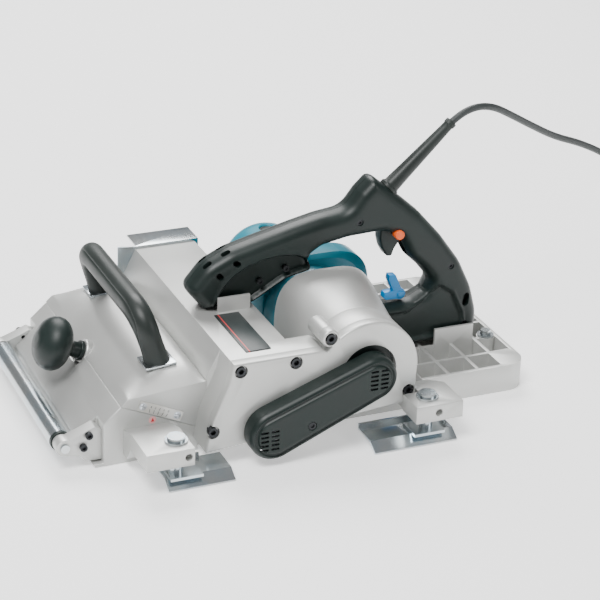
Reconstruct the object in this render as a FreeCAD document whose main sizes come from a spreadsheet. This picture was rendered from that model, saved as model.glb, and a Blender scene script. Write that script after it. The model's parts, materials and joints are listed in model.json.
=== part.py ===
import FreeCAD, Part
import math
import os

import Sketcher
from FreeCAD import Placement, Rotation, Vector

# Electric beam planer. +X runs from the front roller to the rear base, -Y is the belt side, +Z is up.
# The origin lies on the sole plane just behind the front lip of the rear base, at mid width.

DRIVING_SIZES = [
    # overall
    ("planingWidth", 312, "length of the cutter drum and width of the rear sole"),
    ("frontWidth", 336, "width of the front base and the hood"),
    ("deckZ", 143, "top of the chip chute above the sole"),
    ("rearX", 388, "rear end of the rear base"),
    ("sideGap", 0.3, "clearance between castings that lie against each other"),
    ("slideGap", 0.4, "clearance along the ramp of the front base"),
    ("runningGap", 0.05, "radial clearance of a shaft in its bearing"),
    ("wall", 6, "wall of the castings"),
    # front base
    ("toeX", -246, "front end of the front sole"),
    ("noseX", -266, "front of the nose"),
    ("noseLowZ", 20, "lower edge of the nose"),
    ("noseTopZ", 35, "upper edge of the nose"),
    ("rampX", -212, "upper front end of the ramp"),
    ("rampZ", 82.4, "height of the ramp at its front end"),
    ("rampAngle", 24.2, "angle of the ramp in degrees"),
    ("seamX", -107, "rear end of the front base at its sides"),
    ("throatX", -60, "rear lip of the front sole"),
    ("lipRise", 4, "height of the front sole's lip"),
    ("lipSlant", 16, "length of the slant above the lip"),
    ("tongueZ", 24, "top of the tongue that reaches to the drum"),
    ("baseWall", 10, "walls of the front base"),
    ("solePlate", 12, "thickness of the front sole"),
    ("nutRib", 18, "half width of the rib under the depth nut"),
    ("notchX", -236, "rear wall of the notch for a roller arm"),
    ("notchZ", 5, "floor of that notch"),
    ("armInnerY", 141, "inner face of a roller arm"),
    ("armThick", 19, "thickness of a roller arm"),
    # roller
    ("rollerX", -285, "axis of the front roller"),
    ("rollerZ", 32, "axis of the front roller"),
    ("rollerRadius", 14, "outer radius of the roller"),
    ("rollerHalf", 136, "half length of the roller"),
    ("rollerPin", 6, "radius of the roller's shaft"),
    ("armBoss", 11.5, "radius of the boss at the end of a roller arm"),
    # hood
    ("hoodFrontX", -203, "front of the hood's top"),
    ("hoodFrontZ", 91.2, "height of the hood's front edge"),
    ("chuteX", -96, "front face of the chute at its foot"),
    ("hoodRearZ", 100, "height of the hood's side at its rear edge"),
    ("crownRise", 17, "height of the pillow on the hood"),
    ("hoodWall", 6, "wall of the hood"),
    # depth screw
    ("screwLift", 1.5, "height of the screw's axis above the ramp, square to it"),
    ("screwRadius", 6, "radius of the depth screw"),
    ("knobRadius", 37, "radius of the ball knob"),
    ("knobLength", 48, "length of the ball knob along its axis"),
    ("knobNeck", 11, "radius of the knob's neck"),
    ("knobReach", 22, "length of the neck"),
    ("screwLength", 88, "length of the screw inside the hood"),
    ("nutLength", 20, "length of the depth nut"),
    ("nutAlong", 46, "distance along the ramp from its front end to the nut"),
    # housing
    ("ridgeX", -77.5, "front edge of the deck"),
    ("chuteFootZ", 106, "height of the foot of the sloped chute face"),
    ("deckRearX", 12, "rear edge of the deck"),
    ("backStepZ", 100, "height where the rear wall starts to slant"),
    ("backX", 26, "rear wall of the drum chamber"),
    ("backLowZ", 80, "lower end of the slant"),
    ("gearInnerY", -203, "outer face of the gear box casting"),
    ("gearOuterY", -218, "outer face of the gear case cover"),
    ("chuteFarY", 172, "far end of the chute casting"),
    # rear base
    ("lipX", -8, "front lip of the rear sole"),
    ("rearLowZ", 26, "top of the rear base under the motor"),
    ("rearTopZ", 40, "top of the rear base behind the motor"),
    ("rearStepX", 216, "start of the higher part of the rear base"),
    ("rearFloor", 8, "thickness of the rear sole"),
    ("rib", 5, "thickness of the ribs"),
    ("cornerRadius", 28, "radius of the rear corners"),
    # drum
    ("drumX", -28, "axis of the drum"),
    ("drumZ", 44, "axis of the drum, and the radius of its cutting circle"),
    ("drumRadius", 40, "radius of the drum's body"),
    ("chamberGap", 2.6, "clearance between the cutting circle and the castings"),
    ("drumShaft", 8.5, "radius of the drum's shaft"),
    ("bearingRadius", 20, "outer radius of a drum bearing"),
    ("bearingWidth", 11, "width of a drum bearing"),
    ("drumPulley", 27, "radius of the drum's pulley"),
    ("motorPulley", 21, "radius of the motor's pulley"),
    ("beltThick", 3, "thickness of the drive belt"),
    ("beltFarY", -223, "inner edge of the belt"),
    ("beltNearY", -239, "outer edge of the belt"),
    ("coverNearY", -245, "outer face of the belt cover"),
    ("coverLowRadius", 35, "end radius of the belt cover at the drum"),
    ("coverHighRadius", 31, "end radius of the belt cover at the motor"),
    ("coverWall", 3, "wall of the belt cover"),
    # motor
    ("motorX", 112, "axis of the motor"),
    ("motorZ", 101, "axis of the motor"),
    ("caseRadius", 71, "radius of the gear case around the motor"),
    ("motorRadius", 62, "outer radius of the motor housing"),
    ("motorShaft", 7, "radius of the armature's shaft"),
    ("motorFarY", 156, "far end of the motor housing"),
    ("bracketFarY", -64, "far end of the motor bracket"),
    # handle
    ("handleY", -38, "plane where the two handle shells meet"),
    ("handleHalf", 24, "thickness of a handle shell"),
    ("shellWall", 4, "wall of the handle shells"),
    ("handleRound", 8, "radius of the handle's outer edges"),
    # arch grip
    ("archX", -145, "feet of the arch grip"),
    ("archFootY", 118, "distance of the feet from mid width"),
    ("archBarX", -165, "bar of the arch grip"),
    ("archBarY", 102, "corners of the arch grip"),
    ("archBarZ", 178, "height of the bar's axis"),
    ("archTube", 15.5, "radius of the arch grip"),
    # guides
    ("guideY", -236, "axis of the guide rods"),
    ("frontRodX", -162, "front guide rod"),
    ("rearRodX", 190, "rear guide rod"),
    ("rodRadius", 9, "radius of a guide rod"),
    ("guideTopZ", 60, "top of the guide brackets"),
    ("guideLowZ", 36, "underside of the guide brackets"),
    # lead
    ("leadRadius", 5, "radius of the mains lead"),
    ("guardRadius", 9, "radius of the cord guard near its root"),
    ("coilRadius", 62, "mean radius of the coil of spare lead"),
    ("coilHalf", 15, "half width of the coil's section"),
    ("coilHeight", 42, "height of the coil"),
]

os.makedirs("parts", exist_ok=True)
doc = FreeCAD.newDocument("BeamPlaner")
sheet = doc.addObject("Spreadsheet::Sheet", "Sizes")


class Size:
    """A number with the sheet expression that gives it."""

    def __init__(self, text, value):
        self.text = text
        self.value = value

    def __add__(self, other):
        other = asSize(other)
        return Size(f"({self.text} + {other.text})", self.value + other.value)

    def __radd__(self, other):
        return asSize(other) + self

    def __sub__(self, other):
        other = asSize(other)
        return Size(f"({self.text} - {other.text})", self.value - other.value)

    def __rsub__(self, other):
        return asSize(other) - self

    def __mul__(self, other):
        other = asSize(other)
        return Size(f"({self.text} * {other.text})", self.value * other.value)

    def __rmul__(self, other):
        return asSize(other) * self

    def __truediv__(self, other):
        other = asSize(other)
        return Size(f"({self.text} / {other.text})", self.value / other.value)

    def __rtruediv__(self, other):
        return asSize(other) / self

    def __neg__(self):
        return Size(f"(0 - {self.text})", -self.value)


def asSize(number):
    return number if isinstance(number, Size) else Size(f"({number})", float(number))


def sine(degrees):
    return Size(f"sin({degrees.text} * 1deg)", math.sin(math.radians(degrees.value)))


def cosine(degrees):
    return Size(f"cos({degrees.text} * 1deg)", math.cos(math.radians(degrees.value)))


class SizeTable:
    """The sheet's cells by name."""


s = SizeTable()
for row, (alias, number, note) in enumerate(DRIVING_SIZES, 1):
    sheet.set(f"A{row}", note)
    sheet.set(f"B{row}", str(number))
    sheet.setAlias(f"B{row}", alias)
    setattr(s, alias, Size(f"Sizes.{alias}", float(number)))
doc.recompute()

pieces = []

# How each sketch plane lies: the role of the origin plane, and the sign from the world's axis
# to the sketch's normal.
PLANES = {"XY": ("XY_Plane", 1), "XZ": ("XZ_Plane", -1), "YZ": ("YZ_Plane", 1)}


def keep(item, name):
    """Marks a finished sub-part, which is written to parts/ under its name."""
    item.Label = name
    pieces.append(item)
    return item


def bind(item, path, size):
    item.setExpression(path, asSize(size).text)


def newSketch(body, plane, height):
    """A sketch in the body, parallel to an origin plane, at a height along the world's axis."""
    role, sign = PLANES[plane]
    sketch = body.newObject("Sketcher::SketchObject", f"{body.Name}_sketch")
    support = [item for item in body.Origin.OriginFeatures if item.Role == role][0]
    sketch.AttachmentSupport = [(support, "")]
    sketch.MapMode = "FlatFace"
    sketch.AttachmentOffset = Placement(Vector(0, 0, sign * asSize(height).value), Rotation())
    bind(sketch, "AttachmentOffset.Base.z", sign * asSize(height))
    return sketch


def fix(sketch, kind, geometry, vertex, size):
    size = asSize(size)
    index = sketch.addConstraint(Sketcher.Constraint(kind, -1, 1, geometry, vertex, size.value))
    sketch.setExpression(f"Constraints[{index}]", size.text)


def drawPolygon(sketch, points):
    start = sketch.GeometryCount
    count = len(points)
    places = [Vector(asSize(x).value, asSize(y).value, 0) for x, y in points]
    for i in range(count):
        sketch.addGeometry(Part.LineSegment(places[i], places[(i + 1) % count]))
    for i in range(count):
        follower = start + (i + 1) % count
        sketch.addConstraint(Sketcher.Constraint("Coincident", start + i, 2, follower, 1))
    for i, (x, y) in enumerate(points):
        fix(sketch, "DistanceX", start + i, 1, x)
        fix(sketch, "DistanceY", start + i, 1, y)


def drawCircle(sketch, centre, radius):
    radius = asSize(radius)
    place = Vector(asSize(centre[0]).value, asSize(centre[1]).value, 0)
    index = sketch.addGeometry(Part.Circle(place, Vector(0, 0, 1), radius.value))
    rule = sketch.addConstraint(Sketcher.Constraint("Radius", index, radius.value))
    sketch.setExpression(f"Constraints[{rule}]", radius.text)
    fix(sketch, "DistanceX", index, 3, centre[0])
    fix(sketch, "DistanceY", index, 3, centre[1])


def draw(sketch, shape):
    """A shape is a list of corners, or a centre and a radius under the word circle."""
    if shape[0] == "circle":
        drawCircle(sketch, shape[1], shape[2])
    else:
        drawPolygon(sketch, shape)


def circle(x, y, radius):
    return ("circle", (x, y), radius)


def rectangle(x0, y0, x1, y1):
    return [(x0, y0), (x1, y0), (x1, y1), (x0, y1)]


def newBody(name):
    return doc.addObject("PartDesign::Body", name)


def pad(body, plane, shapes, low, high):
    """Adds shapes, drawn parallel to a plane, between two places along the plane's axis."""
    sign = PLANES[plane][1]
    sketch = newSketch(body, plane, low if sign > 0 else high)
    for shape in shapes:
        draw(sketch, shape)
    feature = body.newObject("PartDesign::Pad", f"{body.Name}_pad")
    feature.Profile = sketch
    bind(feature, "Length", asSize(high) - low)
    return body


def pocket(body, plane, shapes, low, high):
    """Removes shapes between two places along the plane's axis."""
    sign = PLANES[plane][1]
    sketch = newSketch(body, plane, high if sign > 0 else low)
    for shape in shapes:
        draw(sketch, shape)
    feature = body.newObject("PartDesign::Pocket", f"{body.Name}_pocket")
    feature.Profile = sketch
    feature.Midplane = False
    bind(feature, "Length", asSize(high) - low)
    return body


def roundEdges(body, radius, chosen):
    """Rounds the edges of a body that the test picks."""
    doc.recompute()
    names = [f"Edge{i}" for i, edge in enumerate(body.Shape.Edges, 1) if chosen(edge)]
    feature = body.newObject("PartDesign::Fillet", f"{body.Name}_round")
    feature.Base = (body.Tip if body.Tip != feature else feature.BaseFeature, names)
    bind(feature, "Radius", radius)
    return body


def cylinder(name, axis, centre, low, high, radius):
    """A cylinder along a world axis; the centre gives the two other coordinates in order."""
    item = doc.addObject("Part::Cylinder", name)
    turn = {"X": Rotation(Vector(0, 1, 0), 90), "Y": Rotation(Vector(1, 0, 0), -90), "Z": Rotation()}[axis]
    item.Placement = Placement(Vector(0, 0, 0), turn)
    places = [asSize(centre[0]), asSize(centre[1])]
    places.insert("XYZ".index(axis), asSize(low))
    for letter, place in zip("xyz", places):
        bind(item, f"Placement.Base.{letter}", place)
    bind(item, "Radius", radius)
    bind(item, "Height", asSize(high) - low)
    return item


def block(name, x0, x1, y0, y1, z0, z1):
    item = doc.addObject("Part::Box", name)
    spans = ((x0, x1, "Length", "x"), (y0, y1, "Width", "y"), (z0, z1, "Height", "z"))
    for low, high, side, letter in spans:
        bind(item, side, asSize(high) - low)
        bind(item, f"Placement.Base.{letter}", low)
    return item


def cut(name, base, tool):
    item = doc.addObject("Part::Cut", name)
    item.Base = base
    item.Tool = tool
    return item


def fuse(name, items):
    item = doc.addObject("Part::MultiFuse", name)
    item.Shapes = items
    return item


def group(name, items):
    item = doc.addObject("Part::Compound", name)
    item.Links = items
    return item


def shaped(name, shape, placement=None):
    """A sub-part whose shape comes from Part's own functions."""
    item = doc.addObject("Part::Feature", name)
    item.Shape = shape
    if placement:
        item.Placement = placement
    return item


def at(x, y, z):
    return Vector(asSize(x).value, asSize(y).value, asSize(z).value)


def hexSocket(place, direction, across, depth):
    """The hexagonal recess of a screw's head, sunk from a place against a direction."""
    reach = across / math.sqrt(3)
    side = direction.cross(Vector(0, 0, 1) if abs(direction.z) < 0.9 else Vector(1, 0, 0))
    side.normalize()
    corners = []
    for i in range(7):
        spin = Rotation(direction, 60 * i)
        corners.append(place + spin.multVec(side) * reach)
    return Part.Face(Part.makePolygon(corners)).extrude(direction * -depth)


def socketScrews(name, places, direction, head, shank, length):
    """Identical socket-head screws; each place is the underside of a head.

    head is (radius, height); shank is the radius of the threaded part.
    """
    out = Vector(*direction)
    screws = []
    for place in places:
        top = Part.makeCylinder(head[0], head[1], place, out)
        body = Part.makeCylinder(shank, length + 1, place + out, out * -1)
        socket = hexSocket(place + out * head[1], out, head[0] * 1.05, head[1] * 0.6)
        screws.append(top.fuse(body).cut(socket).removeSplitter())
    return shaped(name, Part.makeCompound(screws))


def superellipse(centre, halfX, halfZ, power, y):
    """A closed smooth loop in a plane across Y, between an ellipse and a rectangle."""
    points = []
    for i in range(32):
        turn = 2 * math.pi * i / 32
        across = math.copysign(abs(math.cos(turn)) ** (2 / power), math.cos(turn))
        up = math.copysign(abs(math.sin(turn)) ** (2 / power), math.sin(turn))
        points.append(Vector(centre[0] + halfX * across, y, centre[1] + halfZ * up))
    loop = Part.BSplineCurve()
    loop.interpolate(Points=points, PeriodicFlag=True)
    return Part.Wire([loop.toShape()])


# --- front base -------------------------------------------------------------------------------
halfFront = s.frontWidth / 2
halfPlane = s.planingWidth / 2
rampSlope = sine(s.rampAngle) / cosine(s.rampAngle)
RAMP = Placement(at(s.rampX, 0, s.rampZ), Rotation(Vector(0, 1, 0), s.rampAngle.value))


def rampHeight(x):
    return s.rampZ - (x - s.rampX) * rampSlope


frontBase = newBody("frontBase")
pad(frontBase, "XZ", [[
    (s.toeX, 0), (s.noseX, s.noseLowZ), (s.noseX, s.noseTopZ), (s.rampX, s.rampZ),
    (s.seamX, rampHeight(s.seamX)), (s.seamX, 0)]], -halfFront, halfFront)
pad(frontBase, "XZ", [[
    (s.seamX - s.baseWall, 0), (s.throatX, 0), (s.throatX, s.lipRise),
    (s.throatX - s.lipSlant, s.tongueZ), (s.seamX - s.baseWall, s.tongueZ)]], -halfPlane, halfPlane)
hollowX = s.notchX + s.baseWall
slopeShift = s.baseWall * 1.2
slopeRate = (s.rampZ - s.noseTopZ) / (s.rampX - s.noseX)
hollow = [
    (hollowX, s.solePlate), (hollowX, s.noseTopZ + (hollowX - s.noseX - slopeShift) * slopeRate),
    (s.rampX + slopeShift, s.rampZ), (s.seamX - s.baseWall, s.rampZ), (s.seamX - s.baseWall, s.solePlate)]
channelHalf = s.nutRib - 4
channelDeep = 15
notch = rectangle(s.noseX - 1, s.notchZ, s.notchX, s.rampZ)
for side in (-1, 1):
    inner, outer = side * s.nutRib, side * (halfFront - s.baseWall)
    pocket(frontBase, "XZ", [hollow], *((outer, inner) if side < 0 else (inner, outer)))
    inner, outer = side * (s.armInnerY - s.sideGap), side * (halfFront + 1)
    pocket(frontBase, "XZ", [notch], *((outer, inner) if side < 0 else (inner, outer)))
drop = channelDeep / cosine(s.rampAngle)
pocket(frontBase, "XZ", [[
    (s.noseX, rampHeight(s.noseX) - drop), (s.seamX, rampHeight(s.seamX) - drop),
    (s.seamX, s.rampZ), (s.noseX, rampHeight(s.noseX) + drop)]], -channelHalf, channelHalf)
keep(frontBase, "front_base")

screwGap = s.runningGap.value
nutTop = 16
nutFloor = 0.1 - channelDeep
nut = Part.makeBox(
    s.nutLength.value, 2 * channelHalf.value - 0.4, nutTop - nutFloor,
    Vector(s.nutAlong.value, 0.2 - channelHalf.value, nutFloor))
nut = nut.cut(Part.makeCylinder(
    s.screwRadius.value + screwGap, s.nutLength.value, Vector(s.nutAlong.value, 0, s.screwLift.value),
    Vector(1, 0, 0)))
keep(shaped("depthNut", nut, RAMP), "depth_nut")

armOuterY = s.armInnerY + s.armThick
armPlate = [
    (s.notchX - 0.2, s.notchZ + 3), (s.notchX - 0.2, s.notchZ + 46), (s.notchX - 9, s.notchZ + 51),
    (s.notchX - 26, s.notchZ + 44), (s.rollerX + 5, s.rollerZ + s.armBoss - 1),
    (s.rollerX - 3, s.rollerZ - s.armBoss + 0.5), (s.notchX - 30, s.notchZ + 12),
    (s.notchX - 22, s.notchZ + 4)]
armScrews = [(s.notchX - 25, s.notchZ + 25), (s.notchX - 17.5, s.notchZ + 41)]
arms = []
for side in (-1, 1):
    low, high = (-armOuterY, -s.armInnerY) if side < 0 else (s.armInnerY, armOuterY)
    arm = newBody("rollerArm")
    pad(arm, "XZ", [armPlate], low, high)
    pad(arm, "XZ", [circle(s.rollerX, s.rollerZ, s.armBoss)], low, high)
    pocket(arm, "XZ", [circle(s.rollerX, s.rollerZ, s.rollerPin + s.runningGap)], low - 1, high + 1)
    pocket(arm, "XZ", [circle(x, z, 3.05) for x, z in armScrews], low - 1, high + 1)
    arms.append(arm)
keep(group("rollerArms", arms), "roller_arms")
shaft = cylinder("rollerShaft", "Y", (s.rollerX, s.rollerZ), -armOuterY - 3, armOuterY + 3, s.rollerPin)
keep(shaft, "roller_shaft")
tube = newBody("frontRoller")
pad(tube, "XZ", [circle(s.rollerX, s.rollerZ, s.rollerRadius)], -s.rollerHalf, s.rollerHalf)
pocket(tube, "XZ", [circle(s.rollerX, s.rollerZ, s.rollerPin + s.runningGap)],
       -s.rollerHalf - 1, s.rollerHalf + 1)
keep(tube, "front_roller")
near = [at(x, -armOuterY, z) for x, z in armScrews]
far = [at(x, armOuterY, z) for x, z in armScrews]
armNear = socketScrews("armScrewsNear", near, (0, -1, 0), (5, 5), 3, s.armThick.value - 2)
armFar = socketScrews("armScrewsFar", far, (0, 1, 0), (5, 5), 3, s.armThick.value - 2)
keep(group("armScrews", [armNear, armFar]), "arm_screws")

# --- hood over the ramp -----------------------------------------------------------------------
rampLift = s.slideGap / cosine(s.rampAngle)
hoodRearX = s.chuteX - s.sideGap
hood = newBody("hoodShell")
pad(hood, "XZ", [[
    (s.rampX, s.rampZ + rampLift), (s.hoodFrontX, s.hoodFrontZ), (hoodRearX, s.hoodRearZ),
    (hoodRearX, rampHeight(hoodRearX) + rampLift)]], -halfFront, halfFront)
hoodSlope = ((s.hoodRearZ - s.hoodFrontZ) / (hoodRearX - s.hoodFrontX)).value
hoodTilt = math.degrees(math.atan(hoodSlope))
domeMidX = ((s.hoodFrontX + hoodRearX) / 2).value
domeHalfX = ((hoodRearX - s.hoodFrontX) / 2).value - 3
domeHalfY = halfFront.value - 6
DOME = Placement(
    Vector(domeMidX, 0, ((s.hoodFrontZ + s.hoodRearZ) / 2).value), Rotation(Vector(0, 1, 0), -hoodTilt))


def dome(shrink, floor):
    """The pillow on the hood: level loops that draw in as they rise, in the top's own frame."""
    loops = []
    roll = 36.0
    for turn in (0, 22, 45, 66, 84):
        inset = shrink + roll * (1 - math.cos(math.radians(turn)))
        height = (s.crownRise.value - shrink) * math.sin(math.radians(turn)) + (floor if turn == 0 else 0)
        loop = superellipse((0, 0), domeHalfX - inset, domeHalfY - inset, 4.5, 0)
        loop.Placement = Placement(Vector(0, 0, height), Rotation(Vector(1, 0, 0), 90))
        loops.append(loop)
    return Part.makeLoft(loops, True)


outerDome = shaped("hoodDome", dome(0, -1.5), DOME)
innerHollow = newBody("hoodHollow")
wall = s.hoodWall
hoodLow = s.hoodRearZ - 70
pad(innerHollow, "XZ", [[
    (s.rampX + wall * 1.6, hoodLow), (s.rampX + wall * 1.6, s.rampZ + rampLift - 2),
    (s.hoodFrontX + wall, s.hoodFrontZ - wall), (hoodRearX - wall, s.hoodRearZ - wall),
    (hoodRearX - wall, hoodLow)]], -halfFront + wall, halfFront - wall)
innerDome = shaped("hoodDomeHollow", dome(wall.value, -9), DOME)
bossRadius = 12
hoodBoss = shaped("hoodBoss", Part.makeCylinder(
    bossRadius, 17, Vector(-2, 0, s.screwLift.value), Vector(1, 0, 0)), RAMP)
hoodBore = shaped("hoodBore", Part.makeCylinder(
    s.screwRadius.value + screwGap, 60, Vector(-20, 0, s.screwLift.value), Vector(1, 0, 0)), RAMP)
hoodOuter = fuse("hoodOuter", [hood, outerDome])
hoodOpen = cut("hoodOpen", hoodOuter, fuse("hoodInside", [innerHollow, innerDome]))
gripBoltX = s.archX.value - domeMidX
gripHoles = shaped("gripHoles", Part.makeCompound([
    Part.makeCylinder(4.1, 60, Vector(gripBoltX, way * s.archFootY.value, 0)) for way in (-1, 1)]), DOME)
hoodCuts = fuse("hoodCuts", [hoodBore, gripHoles])
keep(cut("frontHood", fuse("hoodWithBoss", [hoodOpen, hoodBoss]), hoodCuts), "front_hood")

# --- depth knob and screw ---------------------------------------------------------------------
neckEnd = -2.4 - s.knobReach.value
lift = s.screwLift.value
knobMid = neckEnd - s.knobLength.value / 2 + 4
profile = Part.BSplineCurve()
halfLong = s.knobLength.value / 2
rim = []
for turn in range(0, 181, 15):
    angle = math.radians(turn)
    bulge = math.sin(angle) ** 0.8 if 0 < turn < 180 else 0
    rim.append(Vector(knobMid - halfLong * math.cos(angle), 0, lift + s.knobRadius.value * bulge))
profile.interpolate(Points=rim)
axisLine = Part.LineSegment(rim[-1], rim[0])
ball = Part.Face(Part.Wire([profile.toShape(), axisLine.toShape()]))
ball = ball.revolve(Vector(0, 0, lift), Vector(1, 0, 0), 360)
neck = Part.makeCylinder(s.knobNeck.value, s.knobReach.value + 4, Vector(neckEnd - 4, 0, lift), Vector(1, 0, 0))
collar = Part.makeCylinder(s.knobNeck.value + 2.5, 4, Vector(-6.4, 0, lift), Vector(1, 0, 0))
bore = Part.makeCylinder(s.screwRadius.value + 0.02, s.knobReach.value + 12,
                         Vector(neckEnd - 8, 0, lift), Vector(1, 0, 0))
knob = ball.fuse([neck, collar]).cut(bore).removeSplitter()
keep(shaped("depthKnob", knob, RAMP), "depth_knob")
screw = Part.makeCylinder(s.screwRadius.value, s.screwLength.value - neckEnd + 6,
                          Vector(neckEnd - 6, 0, lift), Vector(1, 0, 0))
ring = Part.makeCylinder(s.screwRadius.value + 3, 4, Vector(17, 0, lift), Vector(1, 0, 0))
keep(shaped("depthScrew", screw.fuse(ring).removeSplitter(), RAMP), "depth_screw")

# --- main housing -----------------------------------------------------------------------------
chamber = halfPlane + s.sideGap
gearLow = -halfFront
w = s.wall
housing = newBody("mainHousing")
pad(housing, "XZ", [[
    (s.chuteX, 1), (s.chuteX, s.chuteFootZ), (s.ridgeX, s.deckZ), (s.deckRearX, s.deckZ),
    (s.deckRearX, s.backStepZ), (s.backX, s.backLowZ), (s.backX, 1)]], -halfFront, s.chuteFarY)
caseLowX, caseLowZ = -114.5, 22
caseRightX = s.motorX + s.caseRadius - 1
caseSlope = 0.088
caseOutline = [
    (caseLowX, caseLowZ), (caseLowX + 9, 66), (s.ridgeX - 6, 116), (s.ridgeX, s.deckZ),
    (s.motorX - 66, s.deckZ), (s.motorX, s.motorZ), (caseRightX, s.motorZ),
    (caseRightX, caseLowZ + (caseRightX - caseLowX) * caseSlope)]
caseDisc = circle(s.motorX, s.motorZ, s.caseRadius)
lugAt = (s.motorX - 56, s.motorZ + 57)
caseLug = circle(*lugAt, 12)
belowCase = [
    (caseLowX, caseLowZ), (caseLowX, -20), (caseRightX + 10, -20),
    (caseRightX + 10, caseLowZ + (caseRightX + 10 - caseLowX) * caseSlope)]
pad(housing, "XZ", [caseOutline], s.gearInnerY, gearLow)
pad(housing, "XZ", [caseDisc], s.gearInnerY, gearLow)
pad(housing, "XZ", [caseLug], s.gearInnerY, gearLow)
pocket(housing, "XZ", [belowCase], s.gearInnerY - 1, gearLow)
gearHollow = [
    (caseLowX + 10, caseLowZ + 8), (s.ridgeX + 8, s.deckZ - w), (s.motorX - 66, s.deckZ - w),
    (s.motorX, s.motorZ), (caseRightX - w, s.motorZ),
    (caseRightX - w, caseLowZ + w + (caseRightX - caseLowX) * caseSlope)]
gearWallY = gearLow - w
pocket(housing, "XZ", [gearHollow], s.gearInnerY - 1, gearWallY)
pocket(housing, "XZ", [[
    (s.motorX - 64, s.motorZ + 4), (s.motorX - 30, s.motorZ + 55), (s.motorX + 30, s.motorZ + 55),
    (s.motorX + 63, s.motorZ + 4)]], s.gearInnerY - 1, gearWallY)
pocket(housing, "XZ", [[
    (s.chuteX + w, 0), (s.chuteX + w, s.chuteFootZ - 3), (s.ridgeX + w - 1, s.deckZ - w),
    (s.deckRearX - w, s.deckZ - w), (s.deckRearX - w, s.backStepZ - 2),
    (s.backX - w, s.backLowZ - 2), (s.backX - w, 0)]], -chamber, chamber)
pocket(housing, "XZ", [rectangle(s.chuteX - 1, 0, s.chuteX + w + 1, s.tongueZ + 8)], -chamber, chamber)
pocket(housing, "XZ", [rectangle(s.backX - w - 1, 0, s.backX + 1, s.rearLowZ + 0.2)], -chamber, chamber)
bearingNear = (-chamber - s.bearingWidth, -chamber)
bearingFar = (chamber, chamber + s.bearingWidth)
seat = circle(s.drumX, s.drumZ, s.bearingRadius + s.runningGap)
shaftWay = circle(s.drumX, s.drumZ, s.drumShaft + 2)
pocket(housing, "XZ", [seat], bearingNear[0] - 0.2, bearingNear[1] + 1)
pocket(housing, "XZ", [seat], bearingFar[0] - 1, bearingFar[1])
pocket(housing, "XZ", [shaftWay], s.gearInnerY, bearingNear[1])
pocket(housing, "XZ", [circle(s.motorX, s.motorZ, s.motorShaft + 3)], s.gearInnerY, gearLow + 1)
chipMouth = [
    (s.chuteX + w + 2, s.backStepZ - 20), (s.chuteX + w + 2, s.chuteFootZ - 3),
    (s.ridgeX + w - 1, s.deckZ - w), (s.deckRearX - w, s.deckZ - w), (s.deckRearX - w, s.backStepZ - 2),
    (s.deckRearX - w - 10, s.backStepZ - 20)]
pocket(housing, "XZ", [chipMouth], chamber - 1, s.chuteFarY + 1)
tabNear = s.handleY - s.handleHalf - 0.3
pad(housing, "XZ", [rectangle(-42, s.deckZ - 1, 4, s.deckZ + 21)], tabNear - 3.7, tabNear)
keep(housing, "main_housing")

# --- gear case cover, with its screws, and the belt cover ---------------------------------------
cover = newBody("gearcase")
coverFar = s.gearInnerY - s.sideGap
pad(cover, "XZ", [caseOutline], s.gearOuterY, coverFar)
pad(cover, "XZ", [caseDisc], s.gearOuterY, coverFar)
pad(cover, "XZ", [caseLug], s.gearOuterY, coverFar)
pocket(cover, "XZ", [belowCase], s.gearOuterY - 1, coverFar + 1)
roundEdges(cover, 3, lambda edge: all(
    abs(v.Point.y - s.gearOuterY.value) < 0.01 for v in edge.Vertexes) and edge.Length > 8)
caseScrews = [(-105, 51), (-68, 132), (8, 132), lugAt, (171, 64)]
pocket(cover, "XZ", [circle(s.drumX, s.drumZ, s.drumShaft + 2)], s.gearOuterY - 1, coverFar + 1)
pocket(cover, "XZ", [circle(s.motorX, s.motorZ, s.motorShaft + 3)], s.gearOuterY - 1, coverFar + 1)
pocket(cover, "XZ", [circle(s.motorX, s.motorZ, s.coverHighRadius + 8)],
       s.gearOuterY - 1, s.gearOuterY + 9)
screwHead = (6.5, 8)
for x, z in caseScrews:
    pocket(cover, "XZ", [circle(x, z, screwHead[0] + 2.5)], s.gearOuterY - 1, s.gearOuterY + 8)
    pocket(cover, "XZ", [circle(x, z, 4.05)], s.gearOuterY - 1, coverFar + 1)
coverBolt = (s.drumX + 50, s.drumZ + 7)
coverBoss, coverShank = 8, 2.5
coverSeat = s.coverNearY + 4
pocket(cover, "XZ", [circle(*coverBolt, coverShank + 0.05)], s.gearOuterY - 1, s.gearOuterY + 11)
keep(cover, "gearcase")
caseHeads = [at(x, s.gearOuterY + 8, z) for x, z in caseScrews]
caseSet = socketScrews("caseScrews", caseHeads, (0, -1, 0), screwHead, 4, 6)
keep(caseSet, "housing_screws")


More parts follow.
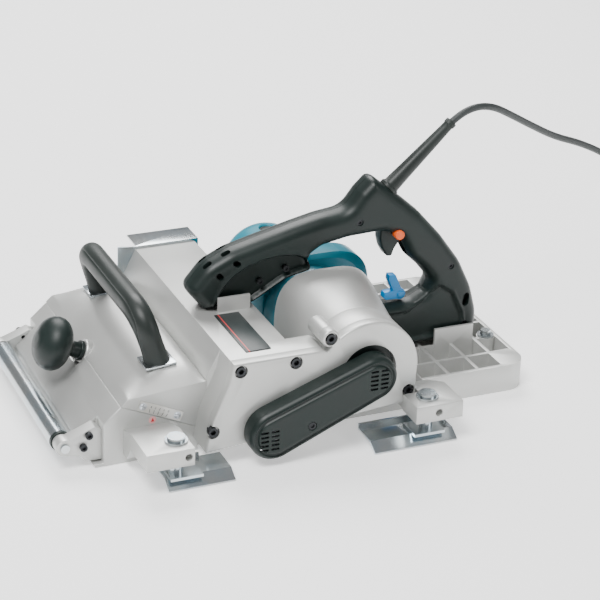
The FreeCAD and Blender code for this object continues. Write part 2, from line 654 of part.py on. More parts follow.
def drawBeltLoop(sketch, one, oneRadius, two, twoRadius):
    """Two arcs and the straight runs that touch both, as a belt lies round two pulleys."""
    start = sketch.GeometryCount
    a = Vector(asSize(one[0]).value, asSize(one[1]).value, 0)
    b = Vector(asSize(two[0]).value, asSize(two[1]).value, 0)
    ra, rb = asSize(oneRadius).value, asSize(twoRadius).value
    heading = math.atan2(b.y - a.y, b.x - a.x)
    spread = math.acos((ra - rb) / (b - a).Length)
    high, low = heading + spread, heading - spread

    def rim(centre, radius, angle):
        return centre + Vector(radius * math.cos(angle), radius * math.sin(angle), 0)

    up = Vector(0, 0, 1)
    sketch.addGeometry(Part.ArcOfCircle(Part.Circle(a, up, ra), high, low + 2 * math.pi))
    sketch.addGeometry(Part.ArcOfCircle(Part.Circle(b, up, rb), low, high))
    sketch.addGeometry(Part.LineSegment(rim(b, rb, high), rim(a, ra, high)))
    sketch.addGeometry(Part.LineSegment(rim(a, ra, low), rim(b, rb, low)))
    joins = ((2, 2, 0, 1), (2, 1, 1, 2), (3, 1, 0, 2), (3, 2, 1, 1))
    for first, firstEnd, second, secondEnd in joins:
        sketch.addConstraint(Sketcher.Constraint(
            "Tangent", start + first, firstEnd, start + second, secondEnd))
    for index, place, radius in ((0, one, oneRadius), (1, two, twoRadius)):
        rule = sketch.addConstraint(Sketcher.Constraint("Radius", start + index, asSize(radius).value))
        sketch.setExpression(f"Constraints[{rule}]", asSize(radius).text)
        fix(sketch, "DistanceX", start + index, 3, place[0])
        fix(sketch, "DistanceY", start + index, 3, place[1])


def beltLoop(body, loops, low, high, kind="Pad"):
    """A pad or a pocket, across Y, of belt loops that each add a radius to both pulleys'."""
    sketch = newSketch(body, "XZ", high if kind == "Pad" else low)
    for lowRadius, highRadius in loops:
        drawBeltLoop(sketch, drumAxis, lowRadius, motorAxis, highRadius)
    feature = body.newObject(f"PartDesign::{kind}", f"{body.Name}_{kind}")
    feature.Profile = sketch
    bind(feature, "Length", asSize(high) - low)


drumAxis = (s.drumX, s.drumZ)
motorAxis = (s.motorX, s.motorZ)
coverGap = 0.2
beltCover = newBody("beltCover")
coverBack = s.gearOuterY - coverGap
beltLoop(beltCover, [(s.coverLowRadius, s.coverHighRadius)], s.coverNearY, coverBack)
roundEdges(beltCover, 4, lambda edge: all(
    abs(v.Point.y - s.coverNearY.value) < 0.01 for v in edge.Vertexes))
beltLoop(beltCover, [(s.coverLowRadius - s.coverWall, s.coverHighRadius - s.coverWall)],
         s.coverNearY + s.coverWall, coverBack + 1, "Pocket")
pad(beltCover, "XZ", [circle(*coverBolt, coverBoss)], s.coverNearY + 1, coverBack)
pocket(beltCover, "XZ", [circle(*coverBolt, coverBoss - 2)], s.coverNearY - 1, coverSeat)
pocket(beltCover, "XZ", [circle(*coverBolt, coverShank + 0.1)], coverSeat - 1, coverBack + 1)
ventRows = 5
slotHigh, slotPitch, slotWide = 3.2, 6.4, 11
for x, z in ((s.drumX - 9, s.drumZ - 4), (s.motorX + 3, s.motorZ + 1)):
    slots = []
    for column in (-0.5, 0.5):
        for i in range(ventRows):
            midX = x + column * (slotWide + 4)
            midZ = z + (i - (ventRows - 1) / 2) * slotPitch
            slots.append(rectangle(
                midX - slotWide / 2, midZ - slotHigh / 2, midX + slotWide / 2, midZ + slotHigh / 2))
    pocket(beltCover, "XZ", slots, s.coverNearY - 1, s.coverNearY + s.coverWall + 1)
keep(beltCover, "belt_cover")

belt = newBody("driveBelt")
grip = 0.06
beltLoop(belt, [
    (s.drumPulley + grip, s.motorPulley + grip),
    (s.drumPulley + grip + s.beltThick, s.motorPulley + grip + s.beltThick)], s.beltNearY, s.beltFarY)
keep(belt, "drive_belt")
shaftEndY = s.coverNearY + s.coverWall + 0.8


def pulley(name, axis, radius, boreRadius):
    wheel = newBody(name)
    low, high = s.beltNearY - 1.2, s.beltFarY + 1.2
    pad(wheel, "XZ", [circle(*axis, radius)], low, high)
    pocket(wheel, "XZ", [circle(*axis, boreRadius)], low - 1, high + 1)
    return wheel


keep(pulley("drumPulley", drumAxis, s.drumPulley, s.drumShaft - s.runningGap + 0.02), "drum_pulley")
keep(pulley("motorPulley", motorAxis, s.motorPulley, s.motorShaft - s.runningGap + 0.02), "motor_pulley")

# --- cutter drum --------------------------------------------------------------------------------
drumHalf = halfPlane - 0.5
drumBlank = newBody("drumBlank")
pad(drumBlank, "XZ", [circle(*drumAxis, s.drumRadius)], -drumHalf, drumHalf)
bladeFoot, bladeTip, bladeLow, bladeThick = 27, 42.1, 12.2, 2.8
barFoot, barEnd, barHigh = 14.3, 30, 23.5
seatFoot = barFoot - 0.3
bladeRoom = [
    (seatFoot, bladeLow - 0.2), (s.drumRadius.value + 2, bladeLow - 0.2),
    (s.drumRadius.value + 2, barHigh + 20), (seatFoot, barHigh + 20)]
drumBolts = 8


def aroundDrum(points, turn):
    """Places points of the drum's section, turned about its axis."""
    spin = math.radians(turn)
    return [(s.drumX + x * math.cos(spin) - z * math.sin(spin),
             s.drumZ + x * math.sin(spin) + z * math.cos(spin)) for x, z in points]


pocket(drumBlank, "XZ", [aroundDrum(bladeRoom, turn) for turn in (0, 180)], -drumHalf - 1, drumHalf + 1)
pad(drumBlank, "XZ", [circle(*drumAxis, s.drumShaft - s.runningGap)], -drumHalf, -drumHalf + 5)
keep(fuse("cutterDrum", [
    drumBlank,
    cylinder("drumShaft", "Y", drumAxis, shaftEndY, bearingFar[1] - 0.5, s.drumShaft - s.runningGap),
]), "cutter_drum")
blades, bars, bolts = [], [], []
barMid = (seatFoot + bladeFoot) / 2 + 0.5
for turn in (0, 180):
    blade = newBody("planerBlade")
    pad(blade, "XZ", [aroundDrum([
        (bladeFoot + 0.1, bladeLow), (bladeTip, bladeLow), (bladeTip - 3, bladeLow + bladeThick),
        (bladeFoot + 0.1, bladeLow + bladeThick)], turn)], -drumHalf, drumHalf)
    blades.append(blade)
    bar = newBody("bladeClamp")
    step = bladeLow + bladeThick + 0.1
    pad(bar, "XZ", [aroundDrum([
        (barFoot, bladeLow), (bladeFoot - 0.1, bladeLow), (bladeFoot - 0.1, step), (barEnd + 4, step),
        (barEnd, barHigh - 2), (barFoot, barHigh)], turn)], -drumHalf + 1, drumHalf - 1)
    bars.append(bar)
keep(group("planerBlades", blades), "planer_blades")
keep(group("bladeClamps", bars), "blade_clamps")
boltHeads = []
for turn, way in ((0, 1), (180, -1)):
    x, z = aroundDrum([(barMid - 1, barHigh)], turn)[0]
    for i in range(drumBolts):
        y = (i - (drumBolts - 1) / 2) * (s.planingWidth.value - 30) / (drumBolts - 1)
        boltHeads.append((Vector(x.value, y, z.value), Vector(0, 0, way)))
heads = [Part.makeCylinder(4, 3, place, way) for place, way in boltHeads]
keep(shaped("clampBolts", Part.makeCompound(heads)), "clamp_bolts")


def ringPart(name, axis, outer, inner, low, high):
    item = newBody(name)
    pad(item, "XZ", [circle(*axis, outer)], low, high)
    pocket(item, "XZ", [circle(*axis, inner)], low - 1, high + 1)
    return item


keep(group("drumBearings", [
    ringPart("nearBearing", drumAxis, s.bearingRadius, s.drumShaft, bearingNear[0], bearingNear[1] - 0.1),
    ringPart("farBearing", drumAxis, s.bearingRadius, s.drumShaft, bearingFar[0] + 0.1, bearingFar[1] - 0.1),
]), "drum_bearings")

# --- rear base ------------------------------------------------------------------------------------
rearBase = newBody("rearBase")
pad(rearBase, "XZ", [[
    (s.lipX, 0), (s.lipX, s.lipRise), (s.backX - w - 1, s.rearLowZ), (s.rearStepX, s.rearLowZ),
    (s.rearStepX + 8, s.rearTopZ), (s.rearX, s.rearTopZ), (s.rearX, 0)]], -halfPlane, halfPlane)
pocket(rearBase, "XZ", [circle(*drumAxis, s.drumZ + s.chamberGap)], -halfPlane - 1, halfPlane + 1)
roundEdges(rearBase, s.cornerRadius, lambda edge: edge.Length > 30 and all(
    abs(v.Point.x - s.rearX.value) < 0.01 for v in edge.Vertexes)
    and abs(edge.Vertexes[0].Point.y - edge.Vertexes[1].Point.y) < 0.01)
ribsX = [s.backX - w - 1 + 4, 72, 120, 168, s.rearStepX + 8, 266, 311, 350, s.rearX - w]
ribsY = [-halfPlane + w, -111, -64, -16, 34, 84, 118, halfPlane - w]
lowCells, highCells = [], []
for i in range(len(ribsX) - 1):
    for j in range(len(ribsY) - 1):
        gapX = s.rib / 2
        x0 = asSize(ribsX[i]) + (gapX if i not in (0, 4) else 1)
        x1 = asSize(ribsX[i + 1]) - (gapX if i != 7 else 0)
        y0 = asSize(ribsY[j]) + (gapX if j else 0)
        y1 = asSize(ribsY[j + 1]) - (gapX if j != 6 else 0)
        if i == 3:
            x1 = s.rearStepX - 4
        corner = i == 7 and j in (0, 6)
        if corner:
            continue
        (lowCells if i < 4 else highCells).append(rectangle(x0, y0, x1, y1))
pocket(rearBase, "XY", lowCells, s.rearFloor, s.rearLowZ + 1)
pocket(rearBase, "XY", highCells, s.rearFloor, s.rearTopZ + 1)
baseBoltPlaces = [(s.rearX - 18, -60), (s.rearX - 18, 60)]
baseShank = 4
pad(rearBase, "XY", [circle(x, y, 13) for x, y in baseBoltPlaces], s.rearFloor - 1, s.rearTopZ)
pocket(rearBase, "XY", [circle(x, y, baseShank + 0.05) for x, y in baseBoltPlaces],
       s.rearTopZ - 20, s.rearTopZ + 1)
tabY = s.handleY - s.handleHalf - 6
pad(rearBase, "XZ", [rectangle(285, s.rearFloor - 1, 345, 66)], tabY, tabY + 4)
keep(rearBase, "rear_base")

# --- motor ------------------------------------------------------------------------------------------
bracketNear = gearLow.value + 0.3
bracketFar = s.bracketFarY.value
mx, mz = s.motorX.value, s.motorZ.value
sections = []
for share, halfX, halfUp, power in ((0, 71, 71, 2.0), (0.45, 72, 77, 2.4), (0.85, 73, 84, 3.0), (1, 73, 84, 3.2)):
    y = bracketNear + (bracketFar - bracketNear) * share
    sections.append(superellipse((mx + share, mz), halfX, halfUp, power, y))
barrel = Part.makeLoft(sections, True)
foot = s.rearLowZ.value + 0.3
below = Part.makeBox(400, 400, 100, Vector(-100, -300, foot - 100))
plateThick = 14
hollowDrum = Part.makeCylinder(
    s.motorRadius.value - 2, 200, Vector(mx, bracketNear + plateThick, mz), Vector(0, 1, 0))
bearingOuter = 17.5
seatHole = Part.makeCylinder(bearingOuter + screwGap, 20, Vector(mx, bracketNear + 3, mz), Vector(0, 1, 0))
shaftHole = Part.makeCylinder(s.motorShaft.value + 2, 20, Vector(mx, bracketNear - 1, mz), Vector(0, 1, 0))
keep(shaped("motorBracket", barrel.cut([below, hollowDrum, seatHole, shaftHole]).removeSplitter()),
     "motor_bracket")

caseNear = bracketFar + 0.3
neckR = s.motorRadius.value + 2
caseFar = s.motorFarY.value
collarNear = s.handleY.value + s.handleHalf.value + 3
neckPart = Part.makeCylinder(neckR, collarNear - caseNear + 2, Vector(mx, caseNear, mz), Vector(0, 1, 0))
bulge = Part.makeLoft([
    superellipse((mx + 8, mz), 75, 73, 3.0, collarNear),
    superellipse((mx + 14, mz), 82, 78, 3.4, collarNear + 8),
    superellipse((mx + 14, mz), 82, 78, 3.4, collarNear + 40),
    superellipse((mx + 4, mz), 71, 70, 2.6, collarNear + 56)], True)
tail = Part.makeCylinder(
    s.motorRadius.value, caseFar - collarNear - 50, Vector(mx, collarNear + 50, mz), Vector(0, 1, 0))
tail = tail.makeFillet(16, [e for e in tail.Edges if abs(e.CenterOfMass.y - caseFar) < 0.01])
case = neckPart.fuse([bulge, tail])
endWall = 12
inside = Part.makeCylinder(s.motorRadius.value - 4, caseFar - caseNear + 1 - endWall,
                           Vector(mx, caseNear - 1, mz), Vector(0, 1, 0))
brushY = caseFar - 30
capRadius = 11
capHoles = [Part.makeCylinder(capRadius + 0.1, 40, Vector(mx, brushY, mz + way * 40), Vector(0, 0, way))
            for way in (-1, 1)]
case = case.cut([inside, below] + capHoles)
farHub = Part.makeCylinder(20, 14, Vector(mx, caseFar - 16, mz), Vector(0, 1, 0))
farBearing = 13
farSeat = Part.makeCylinder(farBearing + screwGap, 11, Vector(mx, caseFar - 17, mz), Vector(0, 1, 0))
case = case.fuse(farHub).cut(farSeat).removeSplitter()
keep(shaped("motorHousing", case), "motor_housing")

endShaft = 6
keep(group("motorBearings", [
    ringPart("driveBearing", motorAxis, bearingOuter, s.motorShaft, bracketNear + 3.2, bracketNear + 13.8),
    ringPart("rearBearing", motorAxis, farBearing, endShaft, caseFar - 16, caseFar - 7),
]), "motor_bearings")
coreLow, coreHigh = 2, 78
keep(ringPart("stator", motorAxis, s.motorRadius - 4.2, 33, coreLow - 4, coreHigh + 4), "stator")
armature = newBody("armatureCore")
pad(armature, "XZ", [circle(*motorAxis, 31)], coreLow, coreHigh)
commutator = 19
pad(armature, "XZ", [circle(*motorAxis, commutator)], coreHigh, caseFar - 18)
shaftRadius = s.motorShaft - s.runningGap
keep(fuse("armature", [
    armature,
    cylinder("armatureShaft", "Y", motorAxis, shaftEndY, coreLow + 1, shaftRadius),
    cylinder("armatureTail", "Y", motorAxis, coreHigh, caseFar - 6, endShaft - s.runningGap),
]), "armature")
fanLow = -50
fan = newBody("fanDisc")
pad(fan, "XZ", [circle(*motorAxis, 52)], fanLow, fanLow + 3)
pad(fan, "XZ", [circle(*motorAxis, 14)], fanLow, fanLow + 14)
for i in range(12):
    angle = math.radians(30 * i)
    across = (math.cos(angle), math.sin(angle))
    side = (-across[1], across[0])
    corners = [(20, -1.2), (50, -1.2), (50, 1.2), (20, 1.2)]
    pad(fan, "XZ", [[(s.motorX + a * across[0] + b * side[0], s.motorZ + a * across[1] + b * side[1])
                     for a, b in corners]], fanLow + 2, fanLow + 14)
pocket(fan, "XZ", [circle(*motorAxis, shaftRadius + 0.02)], fanLow - 1, fanLow + 15)
keep(fan, "cooling_fan")

brushes, holders, springs, caps = [], [], [], []
capTop = s.motorRadius.value - 1.5
for way in (-1, 1):
    def stack(name, half, start, end, way=way):
        low, high = sorted((mz + way * start, mz + way * end))
        return block(name, s.motorX - half, s.motorX + half, brushY - half, brushY + half, low, high)
    brushes.append(stack("brush", 4, commutator + 0.1, commutator + 20))
    springs.append(stack("brushSpring", 3.5, commutator + 20.2, capTop - 6.4))
    holders.append(cut("brushTube", stack("tubeOuter", 6, commutator + 2, capTop - 6.2),
                       stack("tubeInner", 4.1, commutator, capTop)))
    low, high = sorted((mz + way * (capTop - 6), mz + way * capTop))
    caps.append(cylinder("brushCap", "Z", (s.motorX, brushY), low, high, capRadius))
keep(group("brushes", brushes), "carbon_brushes")
keep(group("brushSprings", springs), "brush_springs")
keep(group("brushTubes", holders), "brush_tubes")
keep(group("brushCaps", caps), "brush_caps")


# --- handle -------------------------------------------------------------------------------------------
def roundedLoop(corners, y):
    """A closed wire across Y: straight runs joined by tangent arcs. A corner is (x, z, radius)."""
    count = len(corners)
    starts, ends, arcs = [], [], []
    for i, (x, z, radius) in enumerate(corners):
        here = Vector(x, y, z)
        before = Vector(corners[i - 1][0], y, corners[i - 1][1]) - here
        after = Vector(corners[(i + 1) % count][0], y, corners[(i + 1) % count][1]) - here
        turn = math.pi - before.getAngle(after)
        reach = radius * math.tan(turn / 2)
        limit = 0.48 * min(before.Length, after.Length)
        reach = min(reach, limit)
        before.normalize()
        after.normalize()
        first, last = here + before * reach, here + after * reach
        bisector = (before + after)
        bisector.normalize()
        arcRadius = reach / math.tan(turn / 2)
        centre = here + bisector * (arcRadius / math.cos(turn / 2))
        middle = centre + (here - centre).normalize() * arcRadius
        starts.append(first)
        ends.append(last)
        arcs.append(Part.Arc(first, middle, last).toShape())
    edges = []
    for i in range(count):
        edges.append(arcs[i])
        edges.append(Part.LineSegment(ends[i], starts[(i + 1) % count]).toShape())
    return Part.Wire(edges)


deck = s.deckZ.value
lowTop = s.rearTopZ.value
rearHandle = s.rearX.value - 36
handleOutline = [
    (-57, deck + 0.3, 9), (13, deck + 0.3, 4), (62, 171, 12), (103, 179, 9), (91, 199, 10), (112, 212, 25),
    (150, 219, 60), (199, 221, 9), (226, 213, 9), (244, 178, 14), (264, 159, 18), (282, 137, 12),
    (275, 121, 12), (253, 110, 14), (236, 107, 16), (190, 107, 9), (190, 62, 9), (226, 58, 6),
    (236, lowTop + 0.3, 6), (rearHandle, lowTop + 0.3, 9), (358, 76, 60), (346, 119, 90), (326, 160, 90),
    (295, 202, 90), (259, 242, 60), (229, 265, 10), (180, 303, 10), (160, 286, 20), (144, 267, 30),
    (109, 261, 90), (73, 253, 90), (25, 241, 90), (-22, 229, 60), (-55, 211, 50), (-82, 175, 12)]
hy, hHalf = s.handleY.value, s.handleHalf.value
shellGap = 0.15
guardDir = Vector(0.73, 0, 0.684).normalize()
bossStart, bossEnd, bossShare = Vector(180, hy, 303), Vector(229, hy, 265), 0.68
guardRoot = bossStart + (bossEnd - bossStart) * bossShare
pinX, pinZ = 212, 229
buttonX, buttonZ, buttonR = 224, 217, 6.8
leverX, leverZ = 238, 119
handleScrews = [(164, 243), (307, 158), (58, 190), (21, 176), (334, 66), (212, 84)]
slotHalf = 10.4
triggerSlot = [(196, 213), (196, 172), (233, 172), (262, 186), (262, 243), (199, 243), (199, 223)]
switchRoom = (256, 282, 178, 204)


def prism(points, y0, y1):
    loop = Part.makePolygon([Vector(x, y0, z) for x, z in points + points[:1]])
    return Part.Face(loop).extrude(Vector(0, y1 - y0, 0))


def post(x, z, radius, y0, y1):
    return Part.makeCylinder(radius, y1 - y0, Vector(x, y0, z), Vector(0, 1, 0))


def handleShell(way):
    """One half of the handle: way is -1 on the belt side and 1 on the far side."""
    joint = hy + way * shellGap
    outer = hy + way * hHalf
    face = Part.Face(roundedLoop(handleOutline, joint))
    shell = face.extrude(Vector(0, outer - joint, 0))
    rim = [edge for edge in shell.Edges if all(abs(v.Point.y - outer) < 0.01 for v in edge.Vertexes)]
    shell = shell.makeFillet(s.handleRound.value, rim)
    thin = s.shellWall.value
    inner = face.makeOffset2D(-thin).extrude(Vector(0, outer - way * thin - joint, 0))
    shell = shell.cut(inner)
    low, high = sorted((joint, outer - way * 2))
    posts = [post(x, z, 7, low, high) for x, z in handleScrews]
    slotEdge = hy + way * slotHalf
    low2, high2 = sorted((slotEdge + way * 0.2, outer - way * 2))
    posts.append(post(pinX, pinZ, 6, low2, high2))
    shell = shell.fuse(posts)
    slot = prism(triggerSlot, *sorted((joint - way, slotEdge)))
    pins = post(pinX, pinZ, 2.5 + screwGap, *sorted((joint - way, outer - way * 4)))
    guardSeat = Part.makeCylinder(s.guardRadius.value + 3.1, 26, guardRoot - guardDir * 22, guardDir)
    cutters = [slot, pins, guardSeat]
    for x, z in handleScrews:
        if way < 0:
            cutters.append(post(x, z, 2.3, outer - 1, joint + 1))
            cutters.append(post(x, z, 4.6, outer - 1, outer + 5))
        else:
            cutters.append(post(x, z, 2.0, joint - 1, outer - 6))
    if way < 0:
        cutters.append(post(buttonX, buttonZ, buttonR + 0.08, outer - 1, joint + 1))
    for x, z, across, tall, turn in ((-11, 212, 9, 7, 30), (-36, 196, 9, 7, 45), (338, 104, 8, 13, 10)):
        opening = Part.makeCylinder(1, thin + 6, Vector(0, 0, 0), Vector(0, 1, 0))
        grow = FreeCAD.Matrix()
        grow.scale(across / 2, 1, tall / 2)
        opening = opening.transformGeometry(grow)
        opening.Placement = Placement(
            Vector(x, min(outer, outer - way * (thin + 6)) - (0.5 if way < 0 else -0.5), z),
            Rotation(Vector(0, 1, 0), turn))
        cutters.append(opening)
    return shell.cut(cutters)


nearShell = handleShell(-1)
keep(shaped("handleNear", nearShell), "handle_near")
farShell = handleShell(1)
earLow, earHigh = hy + 4, hy + 14
ear = prism([(228, 98), (228, 120), (233, 127), (243, 127), (248, 120), (248, 98)], earLow, earHigh)
inside = prism([(196, 97), (264, 97), (264, 103), (196, 103)], earLow - 1, earHigh + 1)
leverBore = post(leverX, leverZ, 2.5 + screwGap, earLow - 1, earHigh - 2)
farShell = farShell.fuse(ear.cut(inside)).cut(leverBore).removeSplitter()
keep(shaped("handleFar", farShell), "handle_far")
headPlaces = [at(x, hy - hHalf + 5, z) for x, z in handleScrews]
keep(socketScrews("handleScrews", headPlaces, (0, -1, 0), (4.4, 3), 1.95, 34), "handle_screws")

x0, x1, z0, z1 = switchRoom
switchHalf = hHalf - s.shellWall.value - 0.3
switch = Part.makeBox(x1 - x0, 2 * switchHalf, z1 - z0, Vector(x0, hy - switchHalf, z0))
plunger = Part.makeCylinder(2.5, 6, Vector(x0 - 6, hy, z1 - 10), Vector(1, 0, 0))
keep(shaped("switchBody", switch.fuse(plunger).removeSplitter()), "switch_body")

triggerHalf = 9.8
triggerLoop = [
    (204, 222, 5), (201, 206, 12), (205, 191, 20), (212, 180, 4), (224, 179, 5), (236, 190, 10),
    (247, 199, 5), (247, 226, 5), (222, 236, 6), (206, 235, 4)]
finger = Part.Face(roundedLoop(triggerLoop, hy - triggerHalf)).extrude(Vector(0, 2 * triggerHalf, 0))
rimEdges = [edge for edge in finger.Edges
            if all(abs(abs(v.Point.y - hy) - triggerHalf) < 0.01 for v in edge.Vertexes)]
finger = finger.makeFillet(1.5, rimEdges)
finger = finger.fuse(post(pinX, pinZ, 2.5, hy - hHalf + 5, hy + hHalf - 5)).removeSplitter()
keep(shaped("trigger", finger), "trigger")

buttonFace = hy - hHalf - 3
button = post(buttonX, buttonZ, buttonR, buttonFace, hy - slotHalf - 4)
button = button.makeFillet(1.5, [e for e in button.Edges if abs(e.CenterOfMass.y - buttonFace) < 0.01])
keep(shaped("lockButton", button), "lock_button")

leverNear, leverFar = hy - 8, earLow - 0.3
arms = [prism([(leverX - 6, leverZ - 6), (leverX + 2, leverZ + 7), (leverX - 8, leverZ + 30),
               (leverX - 18, leverZ + 31), (leverX - 19, leverZ + 24)], leverNear, leverFar),
        prism([(leverX, leverZ - 7), (leverX, leverZ + 7), (leverX - 24, leverZ + 5),
               (leverX - 26, leverZ - 2), (leverX - 22, leverZ - 6)], leverNear, leverFar)]
lever = post(leverX, leverZ, 8, leverNear, leverFar).fuse(arms)
lever = lever.fuse([post(leverX, leverZ, 2.5, leverFar - 1, earHigh - 3),
                    post(leverX, leverZ, 4.5, leverNear - 2, leverNear + 1)]).removeSplitter()
keep(shaped("lockLever", lever), "lock_lever")

# --- cord guard and the mains lead --------------------------------------------------------------------
guardLength = 127
guardTip = guardRoot + guardDir * guardLength
leadR = s.leadRadius.value
guard = Part.makeCone(s.guardRadius.value + 3, leadR + 1.6, guardLength, guardRoot + guardDir * 0.6, guardDir)
guard = guard.fuse([
    Part.makeCylinder(s.guardRadius.value + 3, 19, guardRoot - guardDir * 18, guardDir),
    Part.makeCylinder(leadR + 3, 7, guardTip - guardDir * 6, guardDir)])
guard = guard.cut(Part.makeCylinder(leadR + 0.05, 60, guardTip - guardDir * 20, guardDir))
keep(shaped("cordGuard", guard.removeSplitter()), "cord_guard")


def leadPath(points):
    """Straight runs joined by the largest tangent arcs that fit; prints each arc's radius."""
    share = 0.45
    edges, radii = [], []
    here = points[0]
    for i in range(1, len(points) - 1):
        corner = points[i]
        back, forth = points[i - 1] - corner, points[i + 1] - corner
        reach = share * min(back.Length, forth.Length)
        turn = math.pi - back.getAngle(forth)
        radius = reach / math.tan(turn / 2)
        back.normalize()
        forth.normalize()
        first, last = corner + back * reach, corner + forth * reach
        bisector = (back + forth).normalize()
        centre = corner + bisector * (radius / math.cos(turn / 2))
        middle = centre + (corner - centre).normalize() * radius
        edges.append(Part.LineSegment(here, first).toShape())
        edges.append(Part.Arc(first, middle, last).toShape())
        radii.append(round(radius))
        here = last
    edges.append(Part.LineSegment(here, points[-1]).toShape())
    print("radii of the bends", radii)
    return Part.Wire(edges)


def tubeAlong(wire, radius, start, direction):
    ringWire = Part.Wire([Part.makeCircle(radius, start, direction)])
    return wire.makePipeShell([ringWire], True, False)


leadStart = guardTip - guardDir * 19
leadOut = guardTip + guardDir * 9
coilX, coilY = 905, 60
coilEntry = coilX + s.coilRadius.value + 10
leadPoints = [leadStart, leadOut] + [Vector(*point) for point in (
    (343, -34, 380), (378, -22, 372), (420, 0, 347), (470, 28, 316), (530, 62, 280),
    (596, 96, 250), (664, 126, 212), (730, 150, 160), (790, 166, 100), (846, 172, 44), (900, 162, 9),
    (944, 136, 5.2), (968, 100, 5.2), (coilEntry, 66, 5.2))]
leadWire = leadPath(leadPoints)
lead = tubeAlong(leadWire, leadR, leadPoints[0], leadPoints[1] - leadPoints[0])
expected = math.pi * leadR ** 2 * leadWire.Length
print(f"lead {leadWire.Length:.0f} mm, volume {lead.Volume:.0f}, section times length {expected:.0f}")
keep(shaped("mainsLead", lead), "mains_lead")
coilR, coilHalf, coilTall = s.coilRadius.value, s.coilHalf.value, s.coilHeight.value
ringSection = Part.Face(Part.makePolygon([
    Vector(coilX + coilR + a, coilY, b) for a, b in (
        (-coilHalf + 4, 0.2), (coilHalf - 4, 0.2), (coilHalf, 4.2), (coilHalf, coilTall - 4),
        (coilHalf - 4, coilTall), (-coilHalf + 4, coilTall), (-coilHalf, coilTall - 4), (-coilHalf, 4.2),
        (-coilHalf + 4, 0.2))]))
coil = ringSection.revolve(Vector(coilX, coilY, 0), Vector(0, 0, 1), 360)
keep(shaped("leadCoil", coil), "lead_coil")
plugZ = 19
plugY = coilY - coilR - coilHalf - 10.6
plugStart = coilX - 10
plugAxis = Vector(-1, 0, 0)
plug = Part.makeCylinder(18.5, 30, Vector(plugStart - 26, plugY, plugZ), plugAxis)
plug = plug.fuse([
    Part.makeCone(9, 18.5, 26, Vector(plugStart, plugY, plugZ), plugAxis),
    Part.makeCone(leadR + 2, 8, 30, Vector(plugStart + 30, plugY, plugZ), plugAxis)]).removeSplitter()
keep(shaped("plugBody", plug), "plug_body")
pins = [Part.makeCylinder(2.4, 19, Vector(plugStart - 56.2, plugY + way * 9.5, plugZ), plugAxis)
        for way in (-1, 1)]
keep(shaped("plugPins", Part.makeCompound(pins)), "plug_pins")

# --- arch grip ------------------------------------------------------------------------------------------
plateZ = 17.0
plateThick = 3
archPoints = [at(s.archX + 4, -s.archFootY, s.guideLowZ + 60), at(s.archBarX, -s.archBarY, s.archBarZ),
              at(s.archBarX, s.archBarY, s.archBarZ), at(s.archX + 4, s.archFootY, s.guideLowZ + 60)]
archWire = leadPath(archPoints)
archTube = tubeAlong(archWire, s.archTube.value, archPoints[0], archPoints[1] - archPoints[0])
plateFloor = plateZ + 0.1
under = Part.makeBox(400, 600, 200, Vector(-200, -300, plateFloor + plateThick + 0.1 - 200))
under.Placement = DOME
archTube = archTube.cut(under)
plates, gripBolts = [], []
for way in (-1, 1):
    y = way * s.archFootY.value
    hole = Part.makeCylinder(4.1, 60, Vector(gripBoltX, y, 0))
    plates.append(Part.makeBox(42, 38, plateThick, Vector(gripBoltX - 21, y - 19, plateFloor)).cut(hole))
    bolt = Part.makeCylinder(4, 38, Vector(gripBoltX, y, 6)).fuse(Part.makeCylinder(7, 5, Vector(gripBoltX, y, 5.6)))
    gripBolts.append(bolt.removeSplitter())
    drill = Part.makeCylinder(4.1, 39, Vector(gripBoltX, y, 6))
    drill.Placement = DOME
    archTube = archTube.cut(drill)
keep(shaped("archGrip", archTube), "arch_grip")
keep(shaped("gripPlates", Part.makeCompound(plates), DOME), "grip_plates")
keep(shaped("gripBolts", Part.makeCompound(gripBolts), DOME), "grip_bolts")

# --- chute cap, label and scale -------------------------------------------------------------------------
capNear = s.chuteFarY + 0.3
sheetThick = 2.5
capPlate = newBody("chuteCap")
capHigh = s.deckZ + 1 + sheetThick
pad(capPlate, "XZ", [[
    (s.chuteX - 8, s.chuteFootZ - 4), (s.ridgeX - 26, s.deckZ + 6), (s.ridgeX - 2, capHigh),
    (s.deckRearX + 6, capHigh), (s.deckRearX + 6, s.backStepZ - 24), (s.chuteX - 8, s.backStepZ - 24)]],
    capNear, capNear + sheetThick)
chipSill = s.backStepZ + 2
pocket(capPlate, "XZ", [[
    (s.chuteX + w + 2, chipSill), (s.chuteX + w + 2, s.chuteFootZ - 3), (s.ridgeX + w - 1, s.deckZ - w),
    (s.deckRearX - w, s.deckZ - w), (s.deckRearX - w, chipSill)]], capNear - 1, capNear + sheetThick + 1)
pad(capPlate, "XZ", [rectangle(s.ridgeX + 2, s.deckZ + 1, s.deckRearX + 6, capHigh)], capNear, s.chuteFarY + 44)
for x, z in ((-80, 96), (4, 96)):
    pocket(capPlate, "XZ", [circle(x, z, 2.6)], capNear - 1, capNear + sheetThick + 1)
keep(capPlate, "chute_cap")
capScrewPlaces = [at(x, capNear + sheetThick + 0.1, z) for x, z in ((-80, 96), (4, 96))]
keep(socketScrews("capScrews", capScrewPlaces, (0, 1, 0), (4.5, 4), 2.5, 2.5), "cap_screws")
keep(block("labelPlate", s.ridgeX + 27, s.ridgeX + 62, -189, -73, s.deckZ + 0.1, s.deckZ + 1.3), "label_plate")

